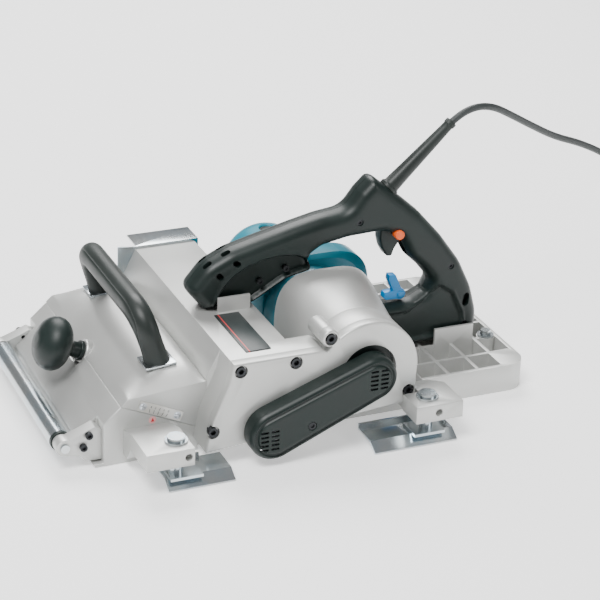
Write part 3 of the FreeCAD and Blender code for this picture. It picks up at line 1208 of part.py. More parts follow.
SCALE = Placement(at(s.rampX, -halfFront, s.rampZ), Rotation(Vector(0, 1, 0), s.rampAngle.value))
scale = Part.makeBox(64, 1.2, 14, Vector(22, -1.3, 1.6))
scaleScrews = [(28, 8.6), (79, 8.6)]
for x, z in scaleScrews:
    scale = scale.cut(Part.makeCylinder(1.6, 4, Vector(x, -3, z), Vector(0, 1, 0)))
keep(shaped("scalePlate", scale, SCALE), "scale_plate")
panHeads = [Part.makeCylinder(4, 2.2, Vector(x, -3.6, z), Vector(0, 1, 0)).fuse(
    Part.makeCylinder(1.5, 2.2, Vector(x, -2.3, z), Vector(0, 1, 0))).removeSplitter()
    for x, z in scaleScrews]
keep(shaped("scaleScrews", Part.makeCompound(panHeads), SCALE), "scale_screws")

# --- guides ---------------------------------------------------------------------------------------------
outerY, innerY = s.guideY - 26, s.guideY + 36
frontBracket = newBody("frontBracket")
pad(frontBracket, "YZ", [[
    (-halfFront - 0.3, 14), (-halfFront - 0.3, 50), (innerY - 5, s.guideTopZ), (outerY, s.guideTopZ),
    (outerY, s.guideLowZ), (innerY, s.guideLowZ), (innerY + 18, 14)]], s.frontRodX - 48, s.frontRodX + 16)
rearBracket = newBody("rearBracket")
blockInner = s.gearOuterY - 1
pad(rearBracket, "YZ", [[
    (outerY, s.guideTopZ), (blockInner, s.guideTopZ), (blockInner, s.guideLowZ), (outerY, s.guideLowZ)]],
    s.rearRodX - 27, s.rearRodX + 41)
pad(rearBracket, "YZ", [[
    (blockInner - 1, s.guideLowZ), (blockInner - 1, s.guideTopZ), (innerY - 5, s.guideTopZ),
    (-halfPlane - 0.3, s.rearTopZ), (-halfPlane - 0.3, 12), (innerY + 18, 12), (innerY, s.guideLowZ)]],
    s.rearRodX - 4, s.rearRodX + 41)
clampRadius = 5
guideSpecs = (
    ("front", frontBracket, s.frontRodX, -18, 72, -18, 42), ("rear", rearBracket, s.rearRodX, -84, 36, -84, 36))
for name, bracket, rodX, plateLow, plateHigh, flangeLow, flangeHigh in guideSpecs:
    pocket(bracket, "XY", [circle(rodX, s.guideY, s.rodRadius + s.runningGap)],
           s.guideLowZ - 1, s.guideTopZ + 1)
    clampX = rodX + 8 if name == "front" else rodX + 6
    pocket(bracket, "XZ", [circle(clampX, s.guideLowZ + 12, clampRadius)], outerY - 1, outerY + 10)
    keep(bracket, f"{name}_guide_bracket")
    footLow, footHigh = 13.2, 17
    rod = newBody(f"{name}Rod")
    pad(rod, "XY", [circle(rodX, s.guideY, s.rodRadius)], footHigh - 1, s.guideTopZ + 1)
    pad(rod, "XY", [circle(rodX, s.guideY, s.rodRadius + 6)], s.guideTopZ + 0.2, s.guideTopZ + 2.6)
    pad(rod, "XY", [circle(rodX, s.guideY, s.rodRadius + 2.5)], s.guideTopZ + 2, s.guideTopZ + 7)
    footWest = rodX - 14 if name == "front" else rodX - 25
    pad(rod, "XY", [rectangle(footWest, s.guideY - 20, footWest + 44, s.guideY + 17)], footLow, footHigh)
    keep(rod, f"{name}_guide_rod")
    plate = newBody(f"{name}Plate")
    pad(plate, "YZ", [[
        (s.guideY + 33, 10), (s.guideY - 7, 10), (s.guideY - 22.5, 1), (s.guideY - 24.5, 3.2),
        (s.guideY - 8, 13), (s.guideY + 33, 13)]], rodX + plateLow, rodX + plateHigh)
    pad(plate, "YZ", [rectangle(s.guideY + 30, 12, s.guideY + 33, 19)], rodX + flangeLow, rodX + flangeHigh)
    keep(plate, f"{name}_guide_plate")

boltSet = []
for x, y in baseBoltPlaces:
    washer = Part.makeCylinder(12, 2.2, at(x, y, lowTop + 0.1))
    hexagon = hexSocket(at(x, y, lowTop + 9), Vector(0, 0, 1), 13, 7)
    shank = Part.makeCylinder(baseShank, 20, at(x, y, lowTop - 18))
    boltSet.append(washer.fuse([hexagon, shank]).removeSplitter())
keep(shaped("baseBolts", Part.makeCompound(boltSet)), "base_bolts")

coverScrewPlace = at(coverBolt[0], coverSeat, coverBolt[1])
coverReach = (s.gearOuterY + 10 - coverSeat).value
keep(socketScrews("coverScrew", [coverScrewPlace], (0, -1, 0), (5.2, 3), coverShank, coverReach), "cover_screw")


# --- files --------------------------------------------------------------------------------------
doc.recompute()
for item in doc.Objects:
    faults = [word for word in item.State if word in ("Invalid", "Error")]
    if faults:
        raise RuntimeError(f"{item.Name}: {faults}")
names = [piece.Label for piece in pieces]
if len(set(names)) != len(names):
    raise RuntimeError("two sub-parts share a name")
for piece in pieces:
    shape = piece.Shape
    if shape.isNull() or not shape.isValid() or not shape.Solids:
        raise RuntimeError(f"{piece.Label}: no valid solid")
for piece in pieces:
    piece.Shape.exportStep(f"parts/{piece.Label}.step")
    print(f"{piece.Label}: {len(piece.Shape.Solids)} solids, {piece.Shape.Volume / 1000:.1f} cm3")
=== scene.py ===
import bpy
import bmesh
import json
import math
from mathutils import Matrix, Vector
from mathutils.geometry import delaunay_2d_cdt


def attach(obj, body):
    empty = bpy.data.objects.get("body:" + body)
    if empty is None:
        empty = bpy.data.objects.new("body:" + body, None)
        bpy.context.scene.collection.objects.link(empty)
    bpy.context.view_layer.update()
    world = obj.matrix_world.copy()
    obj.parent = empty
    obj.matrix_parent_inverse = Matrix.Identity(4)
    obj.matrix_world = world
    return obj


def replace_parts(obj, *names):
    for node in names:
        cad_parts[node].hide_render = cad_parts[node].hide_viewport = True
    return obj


# Wide electric beam planer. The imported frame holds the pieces; this script adds finishes and finer
# shapes. Lengths in the settings are millimetres, and everything built from them is in metres.

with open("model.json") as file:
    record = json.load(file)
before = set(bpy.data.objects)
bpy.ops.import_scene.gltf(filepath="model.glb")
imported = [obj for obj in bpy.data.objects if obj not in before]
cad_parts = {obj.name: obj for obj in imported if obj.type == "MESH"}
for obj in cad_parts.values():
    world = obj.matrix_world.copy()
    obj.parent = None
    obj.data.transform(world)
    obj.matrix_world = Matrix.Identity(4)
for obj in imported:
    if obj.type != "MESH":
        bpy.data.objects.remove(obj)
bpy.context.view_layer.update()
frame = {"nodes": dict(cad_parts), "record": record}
scene = bpy.context.scene
print("frame loaded:", len(frame["nodes"]), "nodes")


def mm(x, y, z):
    return Vector((x, y, z)) / 1000


# camera
cameraSettings = {
    "place": (-926.9, -2350.7, 1307.5),
    "turn": -23.4,      # degrees about Z, from looking along +Y
    "drop": 24.9,       # degrees below the horizon
    "roll": 1.7,
    "lens": 122.0,
    "shift": (0.0167, -0.0067),
}


def addCamera(settings):
    turn = math.radians(settings["turn"])
    drop = math.radians(settings["drop"])
    roll = math.radians(settings["roll"])
    right = Vector((math.cos(turn), math.sin(turn), 0))
    ahead = Vector((-math.sin(turn) * math.cos(drop), math.cos(turn) * math.cos(drop), -math.sin(drop)))
    up = right.cross(ahead)
    sideways = right * math.cos(roll) + up * math.sin(roll)
    upwards = up * math.cos(roll) - right * math.sin(roll)
    data = bpy.data.cameras.new("camera")
    data.lens = settings["lens"]
    data.shift_x, data.shift_y = settings["shift"]
    data.clip_end = 50
    camera = bpy.data.objects.new("camera", data)
    turned = Matrix((sideways, upwards, -ahead)).transposed().to_4x4()
    turned.translation = mm(*settings["place"])
    camera.matrix_world = turned
    scene.collection.objects.link(camera)
    scene.camera = camera


addCamera(cameraSettings)
print("camera set")


# node trees
class Field:
    # a number on a node's socket; sums and products on it add their own nodes
    def __init__(self, tree, socket):
        self.tree = tree
        self.socket = socket

    def maths(self, operation, first, second):
        made = self.tree.nodes.new("ShaderNodeMath")
        made.operation = operation
        for place, value in enumerate((first, second)):
            if isinstance(value, Field):
                self.tree.links.new(value.socket, made.inputs[place])
            else:
                made.inputs[place].default_value = value
        return Field(self.tree, made.outputs[0])

    def __add__(self, other):
        return self.maths("ADD", self, other)

    def __radd__(self, other):
        return self.maths("ADD", other, self)

    def __sub__(self, other):
        return self.maths("SUBTRACT", self, other)

    def __rsub__(self, other):
        return self.maths("SUBTRACT", other, self)

    def __mul__(self, other):
        return self.maths("MULTIPLY", self, other)


class NodeMaker:
    def __init__(self, tree):
        self.tree = tree

    def node(self, kind, settings=None, sockets=None, out=0):
        made = self.tree.nodes.new(kind)
        for name, value in (settings or {}).items():
            setattr(made, name, value)
        for name, value in (sockets or {}).items():
            if isinstance(value, Field):
                self.tree.links.new(value.socket, made.inputs[name])
            else:
                made.inputs[name].default_value = value
        return Field(self.tree, made.outputs[out])


class Finish(NodeMaker):
    # a Principled material; what varies is put on its sockets with put()
    def __init__(self, name, colour, **fixed):
        self.material = bpy.data.materials.new(name)
        self.material.use_nodes = True
        super().__init__(self.material.node_tree)
        self.shader = self.tree.nodes["Principled BSDF"]
        self.shader.inputs["Base Color"].default_value = (*colour, 1)
        for socket, value in fixed.items():
            self.shader.inputs[socket.replace("_", " ")].default_value = value
        self.colour = colour
        self.place = self.node("ShaderNodeTexCoord", out=3)

    def put(self, socket, field):
        self.tree.links.new(field.socket, self.shader.inputs[socket])

    def noise(self, scale, detail=3, roughness=0.5, stretch=(1, 1, 1)):
        spot = self.node("ShaderNodeMapping", None, {"Vector": self.place, "Scale": stretch})
        return self.node("ShaderNodeTexNoise", {"noise_dimensions": "3D"}, {
            "Vector": spot, "Scale": scale, "Detail": detail, "Roughness": roughness})

    def span(self, field, low, high):
        # 0 up to the low value, 1 from the high one, and a soft step between
        return self.node("ShaderNodeMapRange", {"interpolation_type": "SMOOTHSTEP"}, {
            0: field, 1: low, 2: high})

    def mixed(self, share, one, two):
        sockets = {0: share}
        for place, colour in ((6, one), (7, two)):
            sockets[place] = colour if isinstance(colour, Field) else (*colour, 1)
        return self.node("ShaderNodeMix", {"data_type": "RGBA"}, sockets, out=2)

    def shades(self, share, dark, light):
        low = tuple(c * dark for c in self.colour)
        high = tuple(min(c * light, 1) for c in self.colour)
        return self.mixed(share, low, high)

    def bump(self, height, strength, distance):
        return self.node("ShaderNodeBump", None, {
            "Height": height, "Strength": strength, "Distance": distance / 1000})

    def axis(self, letter):
        return self.node("ShaderNodeSeparateXYZ", None, {0: self.place}, out="XYZ".index(letter))


# finishes
def castPaint(name, colour):
    # paint on sand-blasted cast aluminium: a fine orange peel, faint clouds and scuffs
    paint = Finish(name, colour, Metallic=0.6, Coat_Weight=0.08, Coat_Roughness=0.25)
    clouds = paint.noise(7, 3)
    peel = paint.noise(750, 3, 0.6)
    sand = paint.noise(2300, 2)
    scuffs = paint.span(paint.noise(60, 6, 0.72, (1, 0.25, 1)), 0.66, 0.78)
    tone = paint.shades(paint.span(clouds, 0.3, 0.7), 0.93, 1.03)
    dust = paint.mixed(scuffs * 0.25, tone, tuple(c * 0.7 for c in colour))
    paint.put("Base Color", dust)
    paint.put("Roughness", 0.36 + paint.span(peel, 0.3, 0.7) * 0.08 + clouds * 0.08)
    paint.put("Normal", paint.bump(peel + sand * 0.35, 0.16, 0.12))
    return paint.material


def mouldedPlastic(name, colour, gloss, grain=0.2, scale=1300, coat=0.0):
    # spark-eroded moulded plastic: fine grain, slightly polished patches
    plastic = Finish(name, colour, Coat_Weight=coat, Coat_Roughness=0.12, Specular_IOR_Level=0.32)
    pores = plastic.noise(scale, 2, 0.6)
    patches = plastic.noise(16, 3)
    plastic.put("Base Color", plastic.shades(plastic.span(patches, 0.3, 0.7), 0.85, 1.2))
    plastic.put("Roughness", gloss + plastic.span(patches, 0.35, 0.7) * 0.1)
    plastic.put("Normal", plastic.bump(pores, grain, 0.08))
    return plastic.material


def platedMetal(name, colour, gloss, stretch=(1, 1, 1), tint=(0.74, 0.79, 0.86)):
    # zinc or ground steel: drawn lines along one way and a faint shift of tint
    metal = Finish(name, colour, Metallic=1.0)
    drawn = metal.noise(420, 3, 0.6, stretch)
    clouds = metal.noise(22, 4, 0.6)
    metal.put("Base Color", metal.mixed(metal.span(clouds, 0.35, 0.68), colour, tint))
    metal.put("Roughness", gloss + drawn * 0.14 + clouds * 0.08)
    metal.put("Normal", metal.bump(drawn, 0.12, 0.05))
    return metal.material


def blackSteel(name):
    steel = Finish(name, (0.03, 0.032, 0.035), Metallic=0.75)
    worn = steel.span(steel.noise(300, 5, 0.7), 0.6, 0.75)
    steel.put("Base Color", steel.mixed(worn * 0.5, steel.colour, (0.16, 0.16, 0.16)))
    steel.put("Roughness", 0.34 + worn * 0.12)
    steel.put("Normal", steel.bump(steel.noise(900, 3), 0.12, 0.05))
    return steel.material


def rubberSheath(name, colour):
    sheath = Finish(name, colour, Specular_IOR_Level=0.4)
    skin = sheath.noise(1600, 3, 0.6)
    marks = sheath.noise(45, 4, 0.6)
    sheath.put("Base Color", sheath.shades(marks, 0.8, 1.35))
    sheath.put("Roughness", 0.44 + marks * 0.16)
    sheath.put("Normal", sheath.bump(skin, 0.2, 0.06))
    return sheath.material


def windings(name):
    # varnished copper wire over stacked sheets
    coil = Finish(name, (0.30, 0.29, 0.28), Metallic=0.8)
    sheets = coil.noise(900, 1, 0.5, (0.02, 1, 0.02))
    coil.put("Base Color", coil.shades(coil.span(sheets, 0.4, 0.6), 0.6, 1.2))
    coil.put("Roughness", 0.4 + sheets * 0.15)
    coil.put("Normal", coil.bump(sheets, 0.3, 0.1))
    return coil.material


def labelFilm(name):
    # printed film: one red line along its front edge, nothing else
    film = Finish(name, (0.014, 0.022, 0.022), Coat_Weight=0.1, Coat_Roughness=0.3)
    across = film.axis("X")
    line = film.span(across, -0.0462, -0.0460) * (1 - film.span(across, -0.0448, -0.0446))
    grain = film.noise(500, 3)
    film.put("Base Color", film.mixed(line, film.shades(grain, 0.9, 1.15), (0.62, 0.03, 0.03)))
    film.put("Roughness", 0.42 + grain * 0.12)
    film.put("Normal", film.bump(grain, 0.05, 0.04))
    return film.material


finishes = {
    "label_film": labelFilm("labelFilm"),
    "body_paint": castPaint("paintedCasting", (0.535, 0.54, 0.525)),
    "dark_plastic": mouldedPlastic("darkPlastic", (0.007, 0.0135, 0.012), 0.37, 0.2),
    "soft_grip": mouldedPlastic("gripPlastic", (0.016, 0.021, 0.019), 0.4, 0.18, 1700),
    "teal_plastic": mouldedPlastic("tealPlastic", (0.004, 0.17, 0.235), 0.3, 0.07, 900, 0.15),
    "azure_plastic": mouldedPlastic("azurePlastic", (0.002, 0.17, 0.42), 0.3, 0.07, 900, 0.15),
    "orange_plastic": mouldedPlastic("orangePlastic", (0.72, 0.095, 0.012), 0.34, 0.06, 900, 0.1),
    "zinc": platedMetal("zincPlate", (0.58, 0.61, 0.62), 0.12, (1, 0.08, 1), (0.50, 0.58, 0.63)),
    "steel": platedMetal("groundSteel", (0.62, 0.63, 0.64), 0.22, (0.1, 1, 1)),
    "black_screw": blackSteel("blackScrews"),
    "bare_alloy": platedMetal("bareAlloy", (0.72, 0.73, 0.73), 0.25, (1, 0.1, 1), (0.66, 0.68, 0.70)),
    "belt_rubber": rubberSheath("beltRubber", (0.02, 0.02, 0.02)),
    "lead_rubber": rubberSheath("leadRubber", (0.028, 0.033, 0.033)),
    "brass": platedMetal("brassParts", (0.78, 0.58, 0.27), 0.18, (1, 1, 1), (0.70, 0.50, 0.22)),
    "carbon": mouldedPlastic("pressedCarbon", (0.03, 0.03, 0.03), 0.5, 0.3, 1800),
    "core_iron": windings("coreSheets"),
    "scale_film": platedMetal("scalePlate", (0.74, 0.72, 0.68), 0.3, (0.06, 1, 1), (0.68, 0.68, 0.66)),
}
print("finishes made:", len(finishes))


# mesh tools
def turnBy(degrees, axis):
    return Matrix.Rotation(math.radians(degrees), 4, axis)


def moveBy(x, y, z):
    return Matrix.Translation(mm(x, y, z))


def turnedMesh(mesh, *steps):
    # moves a mesh by matrices, first one first
    for step in steps:
        mesh.transform(step)
    return mesh


def eased(value, low, high):
    share = min(max((value - low) / (high - low), 0), 1)
    return share * share * (3 - 2 * share)


slotOf = {part["node"]: part["material_slot"] for part in frame["record"]["subparts"]}


def bodyOf(node):
    for body, members in frame["record"]["behaviour"]["bodies"].items():
        if node in members:
            return body


def addPiece(name, mesh, slotName, node, angle=30, finish=None):
    # a finished piece, which rides on the same body as the node
    mesh.polygons.foreach_set("use_smooth", [True] * len(mesh.polygons))
    mesh.set_sharp_from_angle(angle=math.radians(angle))
    mesh.materials.clear()
    mesh.materials.append(finish or finishes[slotName])
    piece = bpy.data.objects.new(name, mesh)
    scene.collection.objects.link(piece)
    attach(piece, bodyOf(node))
    return piece


def standIn(name, mesh, node, angle=35):
    # a finished piece in the place of a CAD node
    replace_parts(addPiece(name, mesh, slotOf[node], node, angle), node)


def toMesh(form, name):
    mesh = bpy.data.meshes.new(name)
    bmesh.ops.recalc_face_normals(form, faces=form.faces)
    form.to_mesh(mesh)
    form.free()
    return mesh


def helper(mesh, name="helper"):
    piece = bpy.data.objects.new(name, mesh)
    scene.collection.objects.link(piece)
    return piece


def shownMesh(piece):
    # the mesh that an object's modifiers give
    graph = bpy.context.evaluated_depsgraph_get()
    return bpy.data.meshes.new_from_object(piece.evaluated_get(graph))


def evaluated(piece, name):
    # the same, with the object itself removed
    mesh = shownMesh(piece)
    mesh.name = name
    bpy.data.objects.remove(piece)
    return mesh


def carved(mesh, cutters, operation="DIFFERENCE"):
    # booleans on a mesh; the cutters are meshes too and are used up
    piece = helper(mesh, "carved")
    for cutter in cutters:
        other = helper(cutter)
        modifier = piece.modifiers.new("carve", "BOOLEAN")
        modifier.operation = operation
        modifier.solver = "EXACT"
        modifier.object = other
        bpy.context.view_layer.update()
        made = shownMesh(piece)
        piece.modifiers.clear()
        piece.data = made
        bpy.data.objects.remove(other)
    made = piece.data
    bpy.data.objects.remove(piece)
    return made


def rounded(mesh, width, segments, limit, miter="MITER_SHARP"):
    # edges sharper than the limit in degrees get a round of that width
    piece = helper(mesh)
    bevel = piece.modifiers.new("rounded", "BEVEL")
    bevel.width = width / 1000
    bevel.segments = segments
    bevel.limit_method = "ANGLE"
    bevel.angle_limit = math.radians(limit)
    bevel.miter_outer = miter
    return evaluated(piece, mesh.name)


def loft(form, rings):
    # closed rings of points with equal counts, joined by quads and closed at both ends
    layers = [[form.verts.new(point) for point in ring] for ring in rings]
    count = len(layers[0])
    for lower, upper in zip(layers, layers[1:]):
        for i in range(count):
            j = (i + 1) % count
            form.faces.new((lower[i], lower[j], upper[j], upper[i]))
    form.faces.new(layers[0][::-1])
    form.faces.new(layers[-1])


def loftMesh(rings, name):
    form = bmesh.new()
    loft(form, rings)
    return toMesh(form, name)


def circleRing(centre, axis, radius, count):
    side = axis.orthogonal().normalized()
    other = axis.cross(side).normalized()
    turns = [2 * math.pi * i / count for i in range(count)]
    return [centre + (side * math.cos(t) + other * math.sin(t)) * radius for t in turns]


def lathe(form, start, axis, profile, count=48):
    # profile: (distance along the axis, radius) in millimetres
    axis = axis.normalized()
    loft(form, [
        circleRing(start + axis * along / 1000, axis, radius / 1000, count) for along, radius in profile])


def latheMesh(start, axis, profile, name, count=48):
    form = bmesh.new()
    lathe(form, start, axis, profile, count)
    return toMesh(form, name)


def joined(meshes, name):
    form = bmesh.new()
    for mesh in meshes:
        form.from_mesh(mesh)
        bpy.data.meshes.remove(mesh)
    return toMesh(form, name)


def boxMesh(low, high):
    # corners in millimetres
    form = bmesh.new()
    bmesh.ops.create_cube(form, size=1)
    for vert in form.verts:
        vert.co = mm(*(a + (b - a) * (c + 0.5) for a, b, c in zip(low, high, vert.co)))
    return toMesh(form, "box")


def pillMesh(length, width, depth, steps=8):
    # a slot's shape round the origin: rounded ends along X, width in Y, depth in Z
    ring = []
    reach, end = (length - width) / 2, width / 2
    for side in (1, -1):
        for i in range(steps + 1):
            angle = math.pi * (i / steps - 0.5) + (0 if side > 0 else math.pi)
            ring.append((side * reach + end * math.cos(angle), end * math.sin(angle)))
    return loftMesh([[mm(x, y, z) for x, y in ring] for z in (-depth / 2, depth / 2)], "pill")


def roundedOutline(corners, step):
    # (x, z, radius) corners to points: straight runs joined by arcs
    points = []
    count = len(corners)
    for i, (x, z, radius) in enumerate(corners):
        here = Vector((x, z))
        before = Vector(corners[i - 1][:2]) - here
        after = Vector(corners[(i + 1) % count][:2]) - here
        turn = math.pi - before.angle(after)
        reach = min(radius * math.tan(turn / 2), 0.48 * min(before.length, after.length))
        arc = reach / math.tan(turn / 2)
        bisector = (before.normalized() + after.normalized()).normalized()
        centre = here + bisector * (arc / math.cos(turn / 2))
        first = here + before.normalized() * reach - centre
        swing = first.angle_signed(here + after.normalized() * reach - centre)
        pieces = max(2, int(abs(swing) * arc / step))
        for k in range(pieces + 1):
            angle = -swing * k / pieces
            points.append(centre + Vector((
                first.x * math.cos(angle) - first.y * math.sin(angle),
                first.x * math.sin(angle) + first.y * math.cos(angle))))
    return points


def softCopy(name, width, segments, flat=1.0):
    # a CAD node's mesh with its corners welded, its flat faces merged and its edges rounded
    form = bmesh.new()
    form.from_mesh(frame["nodes"][name].data)
    bmesh.ops.remove_doubles(form, verts=form.verts, dist=0.00002)
    if flat:
        bmesh.ops.dissolve_limit(
            form, angle_limit=math.radians(flat), verts=form.verts, edges=form.edges,
            use_dissolve_boundaries=False)
    mesh = bpy.data.meshes.new(name)
    form.to_mesh(mesh)
    form.free()
    return rounded(mesh, width, segments, 32, "MITER_ARC")


# floor and light
studioSettings = {          # metres and watts
    "floor": 30.0,
    "aim": (0.05, 0, 0.08),
    "lamps": (              # place, size and power
        ((-1.5, -1.2, 3.6), 1.7, 210),
        ((2.6, -2.4, 1.7), 1.3, 26),
        ((0.6, 2.4, 3.0), 2.2, 190),
    ),
    "sky": 0.33,
    "floorGlow": 0.55,
}


def addStudio(settings):
    mesh = bpy.data.meshes.new("floor")
    half = settings["floor"] / 2
    corners = [(-half, -half, 0), (half, -half, 0), (half, half, 0), (-half, half, 0)]
    mesh.from_pydata(corners, [], [(0, 1, 2, 3)])
    paleFloor = Finish(
        "paleFloor", (0.9, 0.9, 0.9), Roughness=0.9, Emission_Color=(1, 1, 1, 1),
        Emission_Strength=settings["floorGlow"])
    mesh.materials.append(paleFloor.material)
    floor = helper(mesh, "floor")
    for i, (place, size, power) in enumerate(settings["lamps"]):
        data = bpy.data.lights.new(f"softbox{i + 1}", "AREA")
        data.size = size
        data.energy = power
        lamp = bpy.data.objects.new(data.name, data)
        lamp.location = place
        aim = Vector(settings["aim"]) - Vector(place)
        lamp.rotation_euler = aim.to_track_quat("-Z", "Y").to_euler()
        scene.collection.objects.link(lamp)
    world = bpy.data.worlds.new("studio")
    world.use_nodes = True
    backdrop = world.node_tree.nodes["Background"]
    backdrop.inputs["Color"].default_value = (1, 1, 1, 1)
    backdrop.inputs["Strength"].default_value = settings["sky"]
    scene.world = world


addStudio(studioSettings)
print("floor and lamps set")


# mains lead
leadSettings = {
    "width": 10.0,
    "route": (
        (292.1, -38, 351.0), (312.6, -38, 370.2), (343, -34, 380), (378, -22, 372), (420, 0, 347),
        (470, 28, 316), (530, 62, 280), (596, 96, 250), (664, 126, 212), (730, 150, 160),
        (790, 166, 100), (846, 172, 44), (900, 162, 9), (944, 136, 5.2), (968, 100, 5.2)),
    "coilMiddle": (905, 60),
    "floorGap": 5.2,        # height of the lowest turns' middle
    "layer": 10.3,          # height of a layer of turns
    "turns": (              # radius, layer, and the seventh of the turn in which it changes
        (72.0, 0, 6), (61.7, 0, 6), (51.4, 0, 5), (51.4, 1, 4), (61.7, 1, 4), (72.0, 1, 3),
        (72.0, 2, 2), (61.7, 2, 2), (51.4, 2, 1), (51.4, 3, 0)),
    "lastRadius": 72.0,
    "turnPoints": 28,
    "ending": (
        (976.8, 42, 36), (976.6, 22, 34.4), (973, 2, 30.6), (962, -13.5, 25.6), (945, -24, 21.2),
        (930, -27.6, 19.2), (918, -27.6, 19)),
}


def coilPoints(settings):
    # each turn keeps its radius and layer up to its own seventh, and the next turn's after it,
    # so that no turn runs into the one beside or above it
    middleX, middleY = settings["coilMiddle"]
    turns = settings["turns"]
    count = settings["turnPoints"]
    points = []
    for number, (radius, layer, seventh) in enumerate(turns):
        last = number == len(turns) - 1
        newRadius, newLayer = (settings["lastRadius"], layer) if last else turns[number + 1][:2]
        for i in range(count):
            share = eased(i / count * 7 - seventh, 0, 2 if last else 1)
            angle = -2 * math.pi * i / count
            reach = radius + (newRadius - radius) * share
            height = settings["floorGap"] + (layer + (newLayer - layer) * share) * settings["layer"]
            points.append((middleX + reach * math.cos(angle), middleY + reach * math.sin(angle), height))
    return points


def addLead(settings):
    points = list(settings["route"]) + coilPoints(settings) + list(settings["ending"])
    curve = bpy.data.curves.new("mainsLead", "CURVE")
    curve.dimensions = "3D"
    curve.resolution_u = 8
    curve.bevel_depth = settings["width"] / 2000
    curve.bevel_resolution = 4
    curve.use_fill_caps = True
    spline = curve.splines.new("NURBS")
    spline.points.add(len(points) - 1)
    for point, spot in zip(spline.points, points):
        point.co = (*mm(*spot), 1)
    spline.order_u = 3
    spline.use_endpoint_u = True
    curve.materials.append(finishes["lead_rubber"])
    lead = bpy.data.objects.new("mainsLead", curve)
    scene.collection.objects.link(lead)
    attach(lead, "frame")
    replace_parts(lead, "mains_lead", "lead_coil")
    return lead, spline.calc_length()


leadPiece, leadLength = addLead(leadSettings)
print(f"lead {leadLength:.3f} m")


# repeated slots
def gridTree():
    # a grid of copies of one object
    tree = bpy.data.node_groups.new("gridOfParts", "GeometryNodeTree")
    sockets = (
        ("Part", "NodeSocketObject"), ("Columns", "NodeSocketInt"), ("Rows", "NodeSocketInt"),
        ("Across", "NodeSocketFloat"), ("Along", "NodeSocketFloat"), ("Finish", "NodeSocketMaterial"))
    tree.interface.new_socket("Geometry", in_out="INPUT", socket_type="NodeSocketGeometry")
    for name, kind in sockets:
        tree.interface.new_socket(name, in_out="INPUT", socket_type=kind)
    tree.interface.new_socket("Geometry", in_out="OUTPUT", socket_type="NodeSocketGeometry")
    given = tree.nodes.new("NodeGroupInput")
    result = tree.nodes.new("NodeGroupOutput")
    maker = NodeMaker(tree)
    value = {name: Field(tree, given.outputs[name]) for name, kind in sockets}
    grid = maker.node("GeometryNodeMeshGrid", None, {
        "Size X": (value["Columns"] - 1) * value["Across"],
        "Size Y": (value["Rows"] - 1) * value["Along"],
        "Vertices X": value["Columns"], "Vertices Y": value["Rows"]})
    part = maker.node("GeometryNodeObjectInfo", None, {"Object": value["Part"]}, out="Geometry")
    copies = maker.node("GeometryNodeInstanceOnPoints", None, {"Points": grid, "Instance": part})
    real = maker.node("GeometryNodeRealizeInstances", None, {"Geometry": copies})
    done = maker.node("GeometryNodeSetMaterial", None, {"Geometry": real, "Material": value["Finish"]})
    tree.links.new(done.socket, result.inputs[0])
    return tree


partGrid = gridTree()


def gridOf(name, partMesh, slotName, columns, rows, across, along):
    # the grid lies in XY round the origin; pitches in millimetres
    part = helper(partMesh, name + "Part")
    holder = helper(bpy.data.meshes.new(name), name)
    modifier = holder.modifiers.new("grid", "NODES")
    modifier.node_group = partGrid
    values = {
        "Part": part, "Columns": columns, "Rows": rows, "Across": across / 1000, "Along": along / 1000,
        "Finish": finishes[slotName]}
    for item in partGrid.interface.items_tree:
        if item.in_out == "INPUT" and item.name in values:
            modifier[item.identifier] = values[item.name]
    mesh = evaluated(holder, name)
    bpy.data.objects.remove(part)
    return mesh


# castings
castingSettings = {         # edge rounding, and its segments
    "front_base": (2.2, 3), "main_housing": (2.6, 3), "gearcase": (1.2, 2), "motor_bracket": (3.0, 3),
    "front_guide_bracket": (2.2, 3), "rear_guide_bracket": (2.2, 3), "roller_arms": (1.8, 3),
    "plug_body": (1.6, 3), "lock_lever": (1.8, 3), "chute_cap": (0.7, 2), "label_plate": (0.4, 2),
    "grip_plates": (0.7, 2),
}
for nodeName, (width, segments) in castingSettings.items():
    standIn(nodeName.replace("_", "") + "Soft", softCopy(nodeName, width, segments), nodeName)
print("castings rounded:", len(castingSettings))


